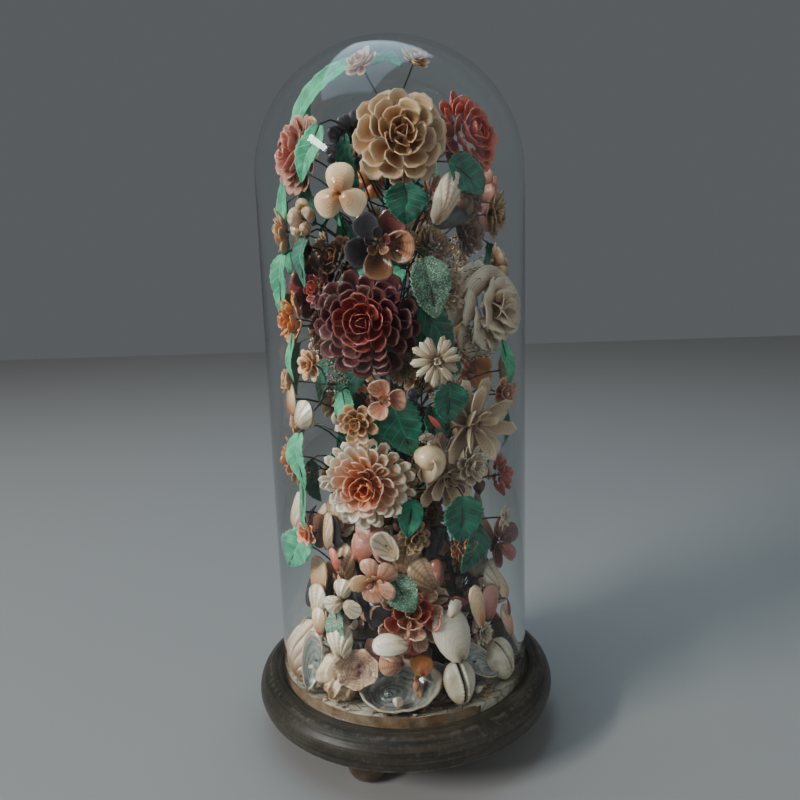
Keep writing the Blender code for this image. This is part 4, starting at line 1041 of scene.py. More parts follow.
def leaf_material(name, dark, light, vein, mica):
    """Dyed and stiffened cloth, with embossed veins, a fine weave, and mica on some."""
    tree, shader = new_material(name)
    place = add_node(tree, "ShaderNodeSeparateXYZ", Vector=own_map(tree)).outputs
    side = maths(tree, "ABSOLUTE", maths(tree, "SUBTRACT", place[0], 0.5))
    slant = maths(tree, "SUBTRACT", times(tree, place[1], 6.0), times(tree, side, 2.2))
    waves = maths(tree, "COSINE", times(tree, slant, TURN))
    ribs = maths(tree, "MAXIMUM", remapped(tree, waves, 0.90, 1.0), remapped(tree, side, 0.035, 0.012))
    where = object_place(tree)
    clouds = noise(tree, where, 130.0, 5.0)
    weave = noise(tree, where, 1500.0, 2.0)
    patch = maths(tree, "ADD", remapped(tree, clouds, 0.35, 0.70, 0.0, 0.8),
                  times(tree, from_mesh(tree, "tone"), 0.3))
    colour = blended(tree, patch, dark, light)
    colour = blended(tree, times(tree, ribs, 0.55), colour, vein)
    colour = blended(tree, remapped(tree, side, 0.44, 0.50, 0.0, 0.5), colour, vein)
    colour, _ = dusted(tree, colour, (0.20, 0.24, 0.17), 80.0, 0.15)
    rough = remapped(tree, weave, 0.3, 0.7, 0.55, 0.80)
    if mica:
        flakes = add_node(tree, "ShaderNodeTexVoronoi", Vector=where, Scale=1700.0)
        flake = add_node(tree, "ShaderNodeSeparateColor", Color=flakes.outputs["Color"])
        glitter = remapped(tree, flake.outputs[0], 0.62, 0.98, 0.0, 0.8)
        colour = blended(tree, glitter, colour, (0.52, 0.60, 0.50))
        rough = remapped(tree, glitter, 0.0, 1.0, 0.7, 0.18)
    fill_in(tree, shader, Base_Color=colour, Roughness=rough, Sheen_Weight=0.15)
    add_bump(tree, shader, maths(tree, "SUBTRACT", times(tree, weave, 0.4), ribs), 0.5, 0.0004)


def glass_material(tint):
    """Thin clear blown glass that lets the lamps through to what stands in it."""
    tree, shader = new_material("glass")
    where = object_place(tree)
    film = remapped(tree, noise(tree, where, 7.0, 6.0), 0.45, 0.75, 0.0, 0.035)
    fill_in(tree, shader, Base_Color=tint, Metallic=0.0, Transmission_Weight=1.0, IOR=1.46,
            Specular_Tint=(0.45, 0.45, 0.45), Roughness=film)
    add_bump(tree, shader, noise(tree, where, 9.0, 1.0), 0.05, 0.004)
    clear = add_node(tree, "ShaderNodeBsdfTransparent", Color=tint)
    path = tree.nodes.new("ShaderNodeLightPath")
    mix = tree.nodes.new("ShaderNodeMixShader")
    sources = (path.outputs["Is Shadow Ray"], shader.outputs[0], clear.outputs[0])
    for socket, source in zip(mix.inputs, sources):
        plug(tree, socket, source)
    plug(tree, tree.nodes["Material Output"].inputs["Surface"], mix.outputs[0])


def base_material(paint, worn, bare):
    """Old dark paint on turned wood: streaks round the turning, rubbed edges and chips."""
    tree, shader = new_material("base_wood")
    stretch = add_node(tree, "ShaderNodeMapping", Vector=own_map(tree), Scale=(9.0, 46.0, 1.0))
    streaks = noise(tree, stretch.outputs[0], 1.0, 6.0)
    where = object_place(tree)
    clouds = noise(tree, where, 22.0, 6.0)
    chips = noise(tree, where, 210.0, 4.0)
    thin = times(tree, remapped(tree, streaks, 0.38, 0.66), remapped(tree, clouds, 0.30, 0.62))
    colour = blended(tree, thin, paint, worn)
    rubbed = times(tree, from_mesh(tree, "bloom"), remapped(tree, chips, 0.47, 0.60))
    chipped = times(tree, rubbed, 0.8)
    colour, dust = dusted(tree, blended(tree, chipped, colour, bare), (0.15, 0.14, 0.11), 40.0, 0.18)
    colour = blended(tree, times(tree, dust["Speck"], 0.12), colour, (0.30, 0.26, 0.20))
    fill_in(tree, shader, Base_Color=colour, Roughness=remapped(tree, clouds, 0.3, 0.7, 0.30, 0.52),
            Coat_Weight=0.15, Coat_Roughness=0.35)
    add_bump(tree, shader, maths(tree, "SUBTRACT", streaks, chipped), 0.45, 0.0008)


def grained_material(name, dark, light, scale, roughness, dusty, depth=0.0006):
    """A rough natural surface of two colours with grain, dust and fine relief."""
    tree, shader = new_material(name)
    grain = noise(tree, object_place(tree), scale, 7.0, Roughness=0.62)
    colour = blended(tree, remapped(tree, grain, 0.36, 0.64), dark, light)
    colour, _ = dusted(tree, colour, (0.42, 0.37, 0.29), scale * 0.4, dusty)
    rough = remapped(tree, grain, 0.3, 0.7, roughness + 0.12, roughness)
    fill_in(tree, shader, Base_Color=colour, Roughness=rough)
    add_bump(tree, shader, grain, 0.6, depth)


def cracked_material():
    """Dry plaster on papered board: cracks, flaked patches and sand."""
    tree, shader = new_material("ground_paper")
    where = object_place(tree)
    clouds = noise(tree, where, 55.0, 7.0)
    cracks = add_node(tree, "ShaderNodeTexVoronoi", feature="DISTANCE_TO_EDGE", Vector=where, Scale=75.0)
    crack = remapped(tree, cracks.outputs["Distance"], 0.035, 0.0)
    colour = blended(tree, remapped(tree, clouds, 0.38, 0.62), (0.16, 0.12, 0.085), (0.50, 0.44, 0.35))
    colour = blended(tree, times(tree, crack, 0.8), colour, (0.06, 0.045, 0.035))
    fill_in(tree, shader, Base_Color=colour, Roughness=0.85)
    add_bump(tree, shader, maths(tree, "SUBTRACT", clouds, crack), 0.8, 0.0012)


def cowrie_material():
    """Cream glaze with painted shade in the slit, darkest where the surface dips deepest between the teeth.
    """
    tree, shader = new_material("cowrie_glaze")
    clouds = noise(tree, object_place(tree), 60.0, 4.0)
    colour = blended(tree, remapped(tree, clouds, 0.38, 0.66), (0.72, 0.66, 0.52), (0.50, 0.40, 0.26))
    # Painted shade: the slit between the teeth is darkened to near black by its depth.
    slit = remapped(tree, from_mesh(tree, "bloom"), 0.35, 0.8)
    colour, _ = dusted(tree, blended(tree, slit, colour, (0.03, 0.02, 0.014)), (0.34, 0.26, 0.16), 120.0, 0.5)
    fill_in(tree, shader, Base_Color=colour, Roughness=0.22, Coat_Weight=0.4)
    add_bump(tree, shader, clouds, 0.2, 0.0003)


def make_materials(glass, wood):
    make_dust_group()
    make_growth_group()
    for name, values in SHELLS.items():
        shell_material(name, *values)
    for name, values in CLOTHS.items():
        leaf_material(name, *values)
    nacre_material()
    cowrie_material()
    glass_material(glass.tint)
    base_material(wood.paint, wood.worn, wood.bare)
    cracked_material()
    grained_material("foot_wood", (0.045, 0.028, 0.019), wood.foot, 90.0, 0.40, 0.25)
    grained_material("edge_strip", (0.07, 0.032, 0.014), (0.22, 0.125, 0.055), 160.0, 0.5, 0.35)
    grained_material("mound", (0.008, 0.006, 0.005), (0.048, 0.034, 0.022), 120.0, 0.75, 0.10, 0.002)
    grained_material("wire", (0.008, 0.009, 0.006), (0.040, 0.036, 0.022), 500.0, 0.6, 0.1)


# Operators

class DOME_OT_finishes(bpy.types.Operator):
    """Build every material, and the shells and leaves that are copied"""
    bl_idname = "dome.finishes"
    bl_label = "Finishes and masters"

    def execute(self, context):
        make_materials(context.scene.dome_glass, context.scene.dome_wood)
        make_masters(context.scene.dome_bouquet.petal_wall)
        return {"FINISHED"}


class DOME_OT_glass(bpy.types.Operator):
    """Blow the glass dome round the bouquet"""
    bl_idname = "dome.glass"
    bl_label = "Glass dome"

    def execute(self, context):
        sizes = context.scene.dome_glass
        outside, inside = GLASS_HIGH.x, GLASS_HIGH.x - sizes.wall
        rise = inside * sizes.cap
        shoulder = GLASS_HIGH.z - sizes.wall - rise
        outer = arc((0, shoulder), (outside, rise + sizes.wall), 90, 0, 24)
        outer[0] = (0.0, GLASS_HIGH.z)
        inner = arc((0, shoulder), (inside, rise), 0, 90, 24)
        inner[-1] = (0.0, GLASS_HIGH.z - sizes.wall)
        half = sizes.wall / 2
        bead = arc(((outside + inside) / 2, GLASS_LOW.z + half), (half, half), 0, -180, 6)
        ride_as(spun("blown_dome", outer + bead + inner, sizes.facets, "glass"), "glass", "glass_dome")
        return {"FINISHED"}


class DOME_OT_base(bpy.types.Operator):
    """Turn the base and its bun feet"""
    bl_idname = "dome.base"
    bl_label = "Turned base"

    def execute(self, context):
        low, high, reach = BASE_LOW.z, BASE_HIGH.z, BASE_HIGH.x
        seat = GLASS_LOW.z - 0.0003
        gutter = GLASS_HIGH.x + 0.0015
        lip_end, arris = reach - 0.0077, reach - 0.0023
        height, lip = high - low, high - seat
        rebate = [(gutter + 0.0004, seat), (gutter + 0.0007, seat + lip * 0.55),
                  (gutter + 0.0019, high - 0.0004), (gutter + 0.0042, high)]
        moulding = [(lip_end - 0.0022, high - 0.0001), (lip_end, high - 0.0010),
                    (reach - 0.0022, high - height * 0.28), (reach, high - height * 0.58),
                    (reach - 0.0008, low + height * 0.20), (arris, low + 0.0011), (reach - 0.0050, low)]
        profile = [(0.0, seat), *smooth_line(rebate + moulding, 6), (0.0, low)]

        def wear(r, z):
            edge = 0.40 * max(0.0, 1 - math.hypot(z - high, r - lip_end) / 0.002)
            foot = 0.75 * max(0.0, 1 - math.hypot(z - low - 0.0011, r - arris) / 0.0022)
            return min(1.0, 0.04 + edge + foot)

        ride_as(spun("turned_base_piece", profile, 160, "base_wood", wear), "base_wood", "turned_base")
        for number in (1, 2, 3):
            self.foot(f"bun_foot_{number}")
        return {"FINISHED"}

    @staticmethod
    def foot(node):
        low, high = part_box(node)
        middle = (low + high) / 2
        radius = (high.x - low.x) / 2 * 1.02
        bulge = arc((radius * 0.42, middle.z), (radius * 0.58, (high.z - low.z) * 0.47), 78, -78, 14)
        neck = radius * 0.50
        profile = [(0.0, high.z), (neck, high.z), *bulge, (neck, low.z), (0.0, low.z)]
        foot = spun(f"{node}_piece", profile, 40, "foot_wood")
        for vertex in foot.data.vertices:
            vertex.co.x += middle.x
            vertex.co.y += middle.y
        ride_as(foot, "foot_wood", node)


class DOME_OT_ground(bpy.types.Operator):
    """Lay the cracked ground, its strip and its grit"""
    bl_idname = "dome.ground"
    bl_label = "Ground"

    def execute(self, context):
        draw = random.Random(context.scene.dome_bouquet.seed)
        reach, low = GROUND_HIGH.x, GROUND_LOW.z
        board = [(0.0, GROUND - 0.0006), (reach * 0.5, GROUND - 0.0006), (reach * 0.8, GROUND - 0.0005),
                 (reach - 0.001, GROUND - 0.0008), (reach, GROUND - 0.002), (reach, low), (0.0, low)]
        ride_as(spun("ground_board", board, 120, "ground_paper"), "ground_paper", "ground_disc")
        self.strip()
        finishes = ("tan_shell", "white_shell", "ground_paper", "cream_shell")
        heap = Heap()
        for _ in range(context.scene.dome_bouquet.grit):
            azimuth, spread = draw.uniform(0, 360), math.sqrt(draw.uniform(0.28, 0.985))
            place = radial(azimuth) * (reach - 0.003) * spread
            place.z = GROUND - 0.0004
            size = draw.uniform(0.0014, 0.0052) if draw.random() < 0.86 else draw.uniform(0.006, 0.010)
            turn = Matrix.Rotation(draw.uniform(0, 6.28), 4, "Z")
            turn = turn @ Matrix.Rotation(draw.uniform(-0.6, 0.6), 4, "X")
            master = MASTERS["crumb_clam" if draw.random() < 0.6 else "crumb_snail"]
            local = Matrix.Translation(place + Vector((0, 0, size * 0.2))) @ turn @ Matrix.Scale(size, 4)
            heap.add(master, local, draw.random(), draw.random(), draw.randrange(len(finishes)))
        ride_as(heap.build("ground_grit", finishes), "tan_shell")
        return {"FINISHED"}

    @staticmethod
    def strip():
        """The thin bent strip with its broken end, slightly wavy along its top."""
        start, steps, span = 67.5, 232, 326.25
        outer, inner = STRIP_HIGH.x, STRIP_HIGH.x - 0.001
        low, high = Vector((0, 0, STRIP_LOW.z)), STRIP_HIGH.z
        rings = []
        for i in range(steps + 1):
            share = i / steps
            out = radial(start + span * share)
            end = min(share, 1 - share)
            ragged = 0.0026 * max(0.0, 1 - end * 60) * (1 + 0.5 * math.sin(i * 2.1))
            top = Vector((0, 0, high - 0.0003 * (1 + math.sin(i * 0.37)) - ragged))
            rings.append([out * inner + low, out * outer + low, out * outer + top, out * inner + top])
        heap = Heap()
        heap.add_rings(rings)
        strip = heap.build("edge_veneer", ("edge_strip",))
        strip.data.set_sharp_from_angle(angle=math.radians(40))
        ride_as(strip, "edge_strip", "edge_strip")


class DOME_OT_mound(bpy.types.Operator):
    """Build the mound with its crust of small shells, and the wires that rise from it"""
    bl_idname = "dome.mound"
    bl_label = "Mound and wires"

    def execute(self, context):
        sizes = context.scene.dome_bouquet
        draw = random.Random(sizes.seed + 1)
        profile = [(r * UNIT, GROUND + h * UNIT) for h, r in MOUND_PROFILE[::-1]]
        mound = spun("rockwork", [(0.0, profile[0][1]), *profile, (0.0, profile[-1][1])], 72, "mound")
        finish_modifier(mound, "SUBSURF", levels=1, render_levels=1)
        for vertex in mound.data.vertices:
            a = math.atan2(vertex.co.x, -vertex.co.y)
            h = (vertex.co.z - GROUND) / UNIT
            lump = 2.4 * math.sin(3 * a + h / 17) * math.cos(2 * a - h / 23)
            lump += 0.9 * math.sin(11 * a + h / 3) + 0.6 * math.sin(19 * a - h / 2.2)
            flat = Vector((vertex.co.x, vertex.co.y, 0.0))
            if flat.length > 1e-5 and 0.5 < h < 133:
                vertex.co += flat.normalized() * lump * UNIT
        ride_as(mound, "mound", "shell_mound")
        self.crust(draw, sizes.crust)
        self.bundle(draw, sizes.wire)
        return {"FINISHED"}

    @staticmethod
    def crust(draw, count):
        """Small shells and crumbs pressed into the mound."""
        heap = Heap()
        kinds = ("clam_back", "mussel_back", "crumb_clam", "crumb_clam", "snail", "crumb_snail")
        finishes = ("tan_shell", "cream_shell", "slate_shell", "pink_shell", "white_shell", "brown_shell",
                    "mauve_shell")
        for _ in range(count):
            height = draw.uniform(2, 128)
            azimuth = draw.uniform(-180, 180)
            radius = carrier_radius(height)
            size = draw.uniform(7, 17) * UNIT
            axes = facing(azimuth + draw.uniform(-25, 25), draw.uniform(-10, 40), draw.uniform(0, 360))
            middle = spot(azimuth, height, radius + draw.uniform(0, 2.5))
            local = hinged(size, size * 0.85, size)
            heap.add(MASTERS[draw.choice(kinds)], placed(axes, middle, local), draw.random(), draw.random(),
                     draw.randrange(len(finishes)))
        ride_as(heap.build("mound_crust", finishes), "tan_shell")

    @staticmethod
    def bundle(draw, wire):
        """The wires of the bundle, twisted round each other on their way up."""
        heap = Heap()
        foot, rise = MOUND_PROFILE[-1][0], BUNDLE_TOP - MOUND_PROFILE[-1][0]
        strands = 15
        for n in range(strands):
            top = BUNDLE_TOP - draw.uniform(0, 60)
            start = 360 * n / strands
            spine = []
            for i in range(25):
                height = foot + (top - foot) * i / 24
                share = (height - foot) / rise
                radius = BUNDLE_FOOT_RADIUS + (BUNDLE_TOP_RADIUS - BUNDLE_FOOT_RADIUS) * share
                away = radius * (0.72 if n % 3 else 0.35)
                spine.append(spot(start + 210 * share + 14 * math.sin(share * 9 + n), height, away))
            heap.add_rings(tube_rings(spine, wire * 1.35, 6), 0, draw.random())
        ride_as(heap.build("wire_bundle_strands", ("wire",)), "wire", "wire_bundle")


class DOME_OT_blossoms(bpy.types.Operator):
    """Wire up the large shell flowers"""
    bl_idname = "dome.blossoms"
    bl_label = "Shell flowers"

    def execute(self, context):
        sizes = context.scene.dome_bouquet
        draw = random.Random(sizes.seed + 2)
        for node, *values, finish in BLOSSOMS:
            heap = Heap()
            finishes = MIXED.get(node, (finish,))
            self.flower(heap, draw, sizes.wire, *values, range(len(finishes)), len(finishes))
            flower = heap.build(f"{node}_petals", (*finishes, "wire", "brown_shell"))
            ride_as(flower, SLOTS.get(finish, finish), node)
        heap = Heap()
        used = list(dict.fromkeys(row[-1] for row in SPARE_BLOSSOMS))
        for *values, finish in SPARE_BLOSSOMS:
            roll = draw.uniform(0, 60)
            self.flower(heap, draw, sizes.wire, *values, roll, (used.index(finish),), len(used))
        ride_as(heap.build("small_flowers", (*used, "wire", "brown_shell")), "cream_shell")
        return {"FINISHED"}

    @staticmethod
    def flower(heap, draw, wire, style, petal, azimuth, height, reach, diameter, turn, tilt, roll, slots,
               wire_slot):
        """One shell flower on its wire. Its beads take the slot after the wire's."""
        axes = facing(azimuth + turn, tilt, roll)
        middle = spot(azimuth, height, reach)
        radius = diameter * UNIT / 2
        add_head(heap, draw, style, petal, axes, middle, radius, slots)
        if style in ("blossom", "daisy", "cinquefoil", "lily"):
            add_heart(heap, draw, axes, middle, radius, wire_slot + 1)
        hold(heap, middle, -axes.col[2], wire, wire_slot)


class DOME_OT_clusters(bpy.types.Operator):
    """Wire up the groups of whole shells"""
    bl_idname = "dome.clusters"
    bl_label = "Shell clusters"

    def execute(self, context):
        sizes = context.scene.dome_bouquet
        draw = random.Random(sizes.seed + 3)
        for node, shell, azimuth, height, reach, across, turn, tilt, roll, finish, members in CLUSTERS:
            heap = Heap()
            axes = facing(azimuth + turn, tilt, roll)
            middle = spot(azimuth, height, reach)
            for angle, away, size, lift in members:
                self.member(heap, draw, shell, axes, middle, across * UNIT / 2, angle, away, size, lift)
            hold(heap, middle, -axes.col[2], sizes.wire, 1)
            ride_as(heap.build(f"{node}_shells", (finish, "wire")), finish, node)
        return {"FINISHED"}

    @staticmethod
    def member(heap, draw, shell, axes, middle, radius, angle, away, size, lift):
        a = math.radians(angle)
        length = size * radius
        local = Matrix.Translation((math.cos(a) * away * radius, math.sin(a) * away * radius, lift * radius))
        local = local @ Matrix.Rotation(a - math.pi / 2, 4, "Z") @ Matrix.Translation((0, -0.5 * length, 0))
        if shell == "snail":
            local = local @ Matrix.Translation((0, 0.5 * length, 0))
            local = local @ Matrix.Rotation(draw.uniform(0.6, 1.5), 4, "X")
        local = local @ Matrix.Diagonal((length * 0.92, length, length * 0.95, 1))
        heap.add(MASTERS[shell], placed(axes, middle, local), draw.uniform(0.5, 1.0), draw.uniform(0.4, 1.0))


class DOME_OT_sprigs(bpy.types.Operator):
    """Twist the small flowers into sprigs"""
    bl_idname = "dome.sprigs"
    bl_label = "Sprigs"

    def execute(self, context):
        sizes = context.scene.dome_bouquet
        draw = random.Random(sizes.seed + 4)
        for node, knot_place, heads, finish in SPRIGS:
            heap = Heap()
            used = list(dict.fromkeys((finish, *(head[-1] for head in heads))))
            knot = spot(*knot_place)
            inwards = facing(knot_place[0], 0) @ Vector((0, 0, -1))
            for style, petal, azimuth, height, reach, diameter, turn, tilt, head_finish in heads:
                slot = used.index(head_finish)
                axes = facing(azimuth + turn, tilt)
                middle = spot(azimuth, height, reach)
                radius = diameter * UNIT / 2
                if style in STYLES:
                    add_head(heap, draw, style, petal, axes, middle, radius, (slot,))
                    add_heart(heap, draw, axes, middle, radius, len(used))
                else:
                    local = hinged(2 * radius, 2 * radius, 2 * radius)
                    heap.add(MASTERS[style], placed(axes, middle, local), 0.9, 0.8, slot)
                away = -axes.col[2]
                length = (middle - knot).length
                control = [middle, middle + away * length * 0.4, knot - inwards * length * 0.3, knot]
                heap.add_rings(wire_rings(control, sizes.wire), len(used) + 1)
            hold(heap, knot, inwards, sizes.wire * 1.5, len(used) + 1)
            ride_as(heap.build(f"{node}_flowers", (*used, "orange_shell", "wire")), finish, node)
        return {"FINISHED"}


class DOME_OT_leaves(bpy.types.Operator):
    """Cut and wire the cloth leaves"""
    bl_idname = "dome.leaves"
    bl_label = "Cloth leaves"

    def execute(self, context):
        sizes = context.scene.dome_bouquet
        draw = random.Random(sizes.seed + 5)
        for node, *values, finish in LEAVES:
            heap = Heap()
            self.leaf(heap, draw, sizes.wire, *values)
            ride_as(heap.build(f"{node}_cloth", (finish, "wire")), finish, node)
        finishes = list(CLOTHS)
        heap = Heap()
        for *values, finish in SPARE_LEAVES:
            self.leaf(heap, draw, sizes.wire, *values, slot=finishes.index(finish), wire_slot=len(finishes))
        ride_as(heap.build("spare_leaves", (*finishes, "wire")), "emerald_leaf")
        return {"FINISHED"}

    @staticmethod
    def leaf(heap, draw, wire, azimuth, height, reach, length, width, tip, turn, tilt, curl, slot=0,
             wire_slot=1):
        """One leaf with the wire that it is glued to. Its tip points the way given in degrees."""
        axes = facing(azimuth + turn, tilt, tip)
        middle = spot(azimuth, height, reach)
        along, across, out = (axes @ Vector(v) for v in ((1, 0, 0), (0, 1, 0), (0, 0, 1)))
        master = MASTERS["ribbon" if length > 3.5 * width else "leaf"]
        x, y, z = master.points.T
        z = z * width * UNIT + curl * UNIT * (1 - 4 * y ** 2) + 1.2 * UNIT * np.sin(y * 7 + azimuth)
        x, y = x * width * UNIT, y * length * UNIT
        points = np.outer(-x, across) + np.outer(y, along) + np.outer(z, out) + np.array(middle)
        heap.add(master._replace(points=points), bloom=0.5, tone=draw.random(), slot=slot)
        start = middle - along * 0.5 * length * UNIT
        hold(heap, start, (-along - out * 1.2).normalized(), wire, wire_slot)
        rib = []
        for s in (0.0, 0.2, 0.4, 0.6, 0.8):
            rise = curl * UNIT * (1 - (2 * s - 1) ** 2) - wire
            rib.append(middle + along * (s - 0.5) * length * UNIT + out * rise)
        heap.add_rings(tube_rings(rib, wire * 0.7, 5), wire_slot)


class DOME_OT_filling(bpy.types.Operator):
    """Fill the spaces behind the large flowers with leaves, small shells and sprays"""
    bl_idname = "dome.filling"
    bl_label = "Filling"

    def execute(self, context):
        sizes = context.scene.dome_bouquet
        draw = random.Random(sizes.seed + 7)
        self.shells(draw, sizes)
        self.greenery(draw, sizes)
        self.sprays(draw)
        self.blades(draw)
        return {"FINISHED"}

    @staticmethod
    def shells(draw, sizes):
        """Small shells on short wires, thickest round the foot of the bouquet."""
        heap = Heap()
        kinds = ("clam_back", "cockle_back", "mussel_back", "mussel_open", "clam_back", "snail")
        finishes = ("tan_shell", "cream_shell", "slate_shell", "pink_shell", "brown_shell", "brown_shell",
                    "mauve_shell", "lily_shell", "white_shell", "slate_shell")
        for n in range(sizes.filling):
            height = draw.uniform(105, 190) if n % 3 == 0 else 8 + 130 * draw.random()
            azimuth = draw.uniform(-180, 180)
            low = carrier_radius(height) + 4
            reach = low + ((72 if n % 3 == 0 else 64) - low) * draw.random() ** 0.6
            size = draw.uniform(14, 27) * UNIT
            wide = size * draw.uniform(0.5, 0.9)
            axes = facing(azimuth + draw.uniform(-30, 30), draw.uniform(-10, 30), draw.uniform(-50, 50))
            middle = spot(azimuth, height, reach)
            local = hinged(size, wide, math.sqrt(size * wide))
            heap.add(MASTERS[draw.choice(kinds)], placed(axes, middle, local), draw.uniform(0.4, 1),
                     draw.random(), draw.randrange(len(finishes)))
            if reach > low + 6:
                back = -axes.col[2]
                hold(heap, middle + back * size * 0.1, back, sizes.wire, len(finishes))
        ride_as(heap.build("filling_shells", (*finishes, "wire")), "tan_shell")

    @staticmethod
    def greenery(draw, sizes):
        """Dark leaves and small dull flowers close to the wires of the upper bouquet."""
        heap = Heap()
        finishes = ("emerald_leaf", "pale_leaf", "brown_shell", "tan_shell", "orange_shell", "cream_shell")
        for n in range(34):
            height = 140 + 250 * (n + draw.random()) / 34
            azimuth = draw.uniform(-180, 180)
            reach = draw.uniform(30, 56) if height < 330 else draw.uniform(20, 40)
            DOME_OT_leaves.leaf(heap, draw, sizes.wire, azimuth, height, reach, draw.uniform(30, 42),
                                draw.uniform(16, 24), draw.uniform(-150, -40), draw.uniform(-30, 30),
                                draw.uniform(-10, 30), 3, slot=0 if n % 4 else 1, wire_slot=len(finishes))
        ride_as(heap.build("deep_greenery", (*finishes, "wire")), "emerald_leaf")
        heap = Heap()
        for n in range(22):
            height = 130 + 250 * (n + draw.random()) / 22
            azimuth = draw.uniform(-180, 180)
            reach = draw.uniform(34, 58) if height < 330 else draw.uniform(26, 44)
            style = draw.choice(("small_dahlia", "blossom", "cone"))
            petal = draw.choice(("clam", "quill", "mussel"))
            DOME_OT_blossoms.flower(heap, draw, sizes.wire, style, petal, azimuth, height, reach,
                                    draw.uniform(24, 38), draw.uniform(-20, 20), draw.uniform(-5, 25),
                                    draw.uniform(0, 60), (draw.randrange(2, 6),), len(finishes))
        ride_as(heap.build("deep_flowers", (*finishes, "wire", "brown_shell")), "brown_shell")

    @staticmethod
    def sprays(draw):
        """Fine wires strung with the smallest rice shells."""
        heap = Heap()
        for azimuth, height, reach, spread in SPRAYS:
            root = spot(azimuth, height - 22, 34)
            for _ in range(11):
                tip = spot(azimuth + draw.uniform(-spread, spread), height + draw.uniform(-14, 20),
                           reach + draw.uniform(-8, 4))
                bend = root.lerp(tip, 0.5) + Vector((0, 0, draw.uniform(0.004, 0.014)))
                control = [root, bend, tip]
                heap.add_rings(wire_rings(control, 0.00028, 8, 4), 1)
                for k in range(6):
                    at = bezier(control, 0.5 + 0.1 * k)
                    turn = Matrix.Rotation(draw.uniform(0, 6.28), 4, "Z")
                    turn = turn @ Matrix.Rotation(draw.uniform(0, 3), 4, "X")
                    local = Matrix.Translation(at) @ turn @ Matrix.Diagonal((0.0022, 0.0038, 0.0022, 1))
                    heap.add(MASTERS["crumb_snail"], local, 0.8, draw.random())
        ride_as(heap.build("rice_sprays", ("lily_shell", "wire")), "tan_shell")

    @staticmethod
    def blades(draw):
        """Long leaves that arch along the inside of the glass."""
        heap = Heap()
        for slot, width, places in BLADES:
            control = [spot(*place) for place in places]
            points = []
            for x, y, z in MASTERS["ribbon"].points:
                at = bezier(control, y + 0.5)
                behind, beyond = bezier(control, max(0.0, y + 0.48)), bezier(control, min(1.0, y + 0.52))
                ahead = (beyond - behind).normalized()
                out = (at - Vector((0, 0, GROUND + 340 * UNIT))).normalized() + Vector((0, -1.4, 0))
                across = ahead.cross(out).normalized()
                points.append(at + across * x * width * UNIT + across.cross(ahead) * z * width * UNIT)
            blade = MASTERS["ribbon"]._replace(points=np.array(points))
            heap.add(blade, bloom=0.5, tone=draw.random(), slot=slot)
        ride_as(heap.build("long_blades", ("pale_leaf", "emerald_leaf")), "pale_leaf")


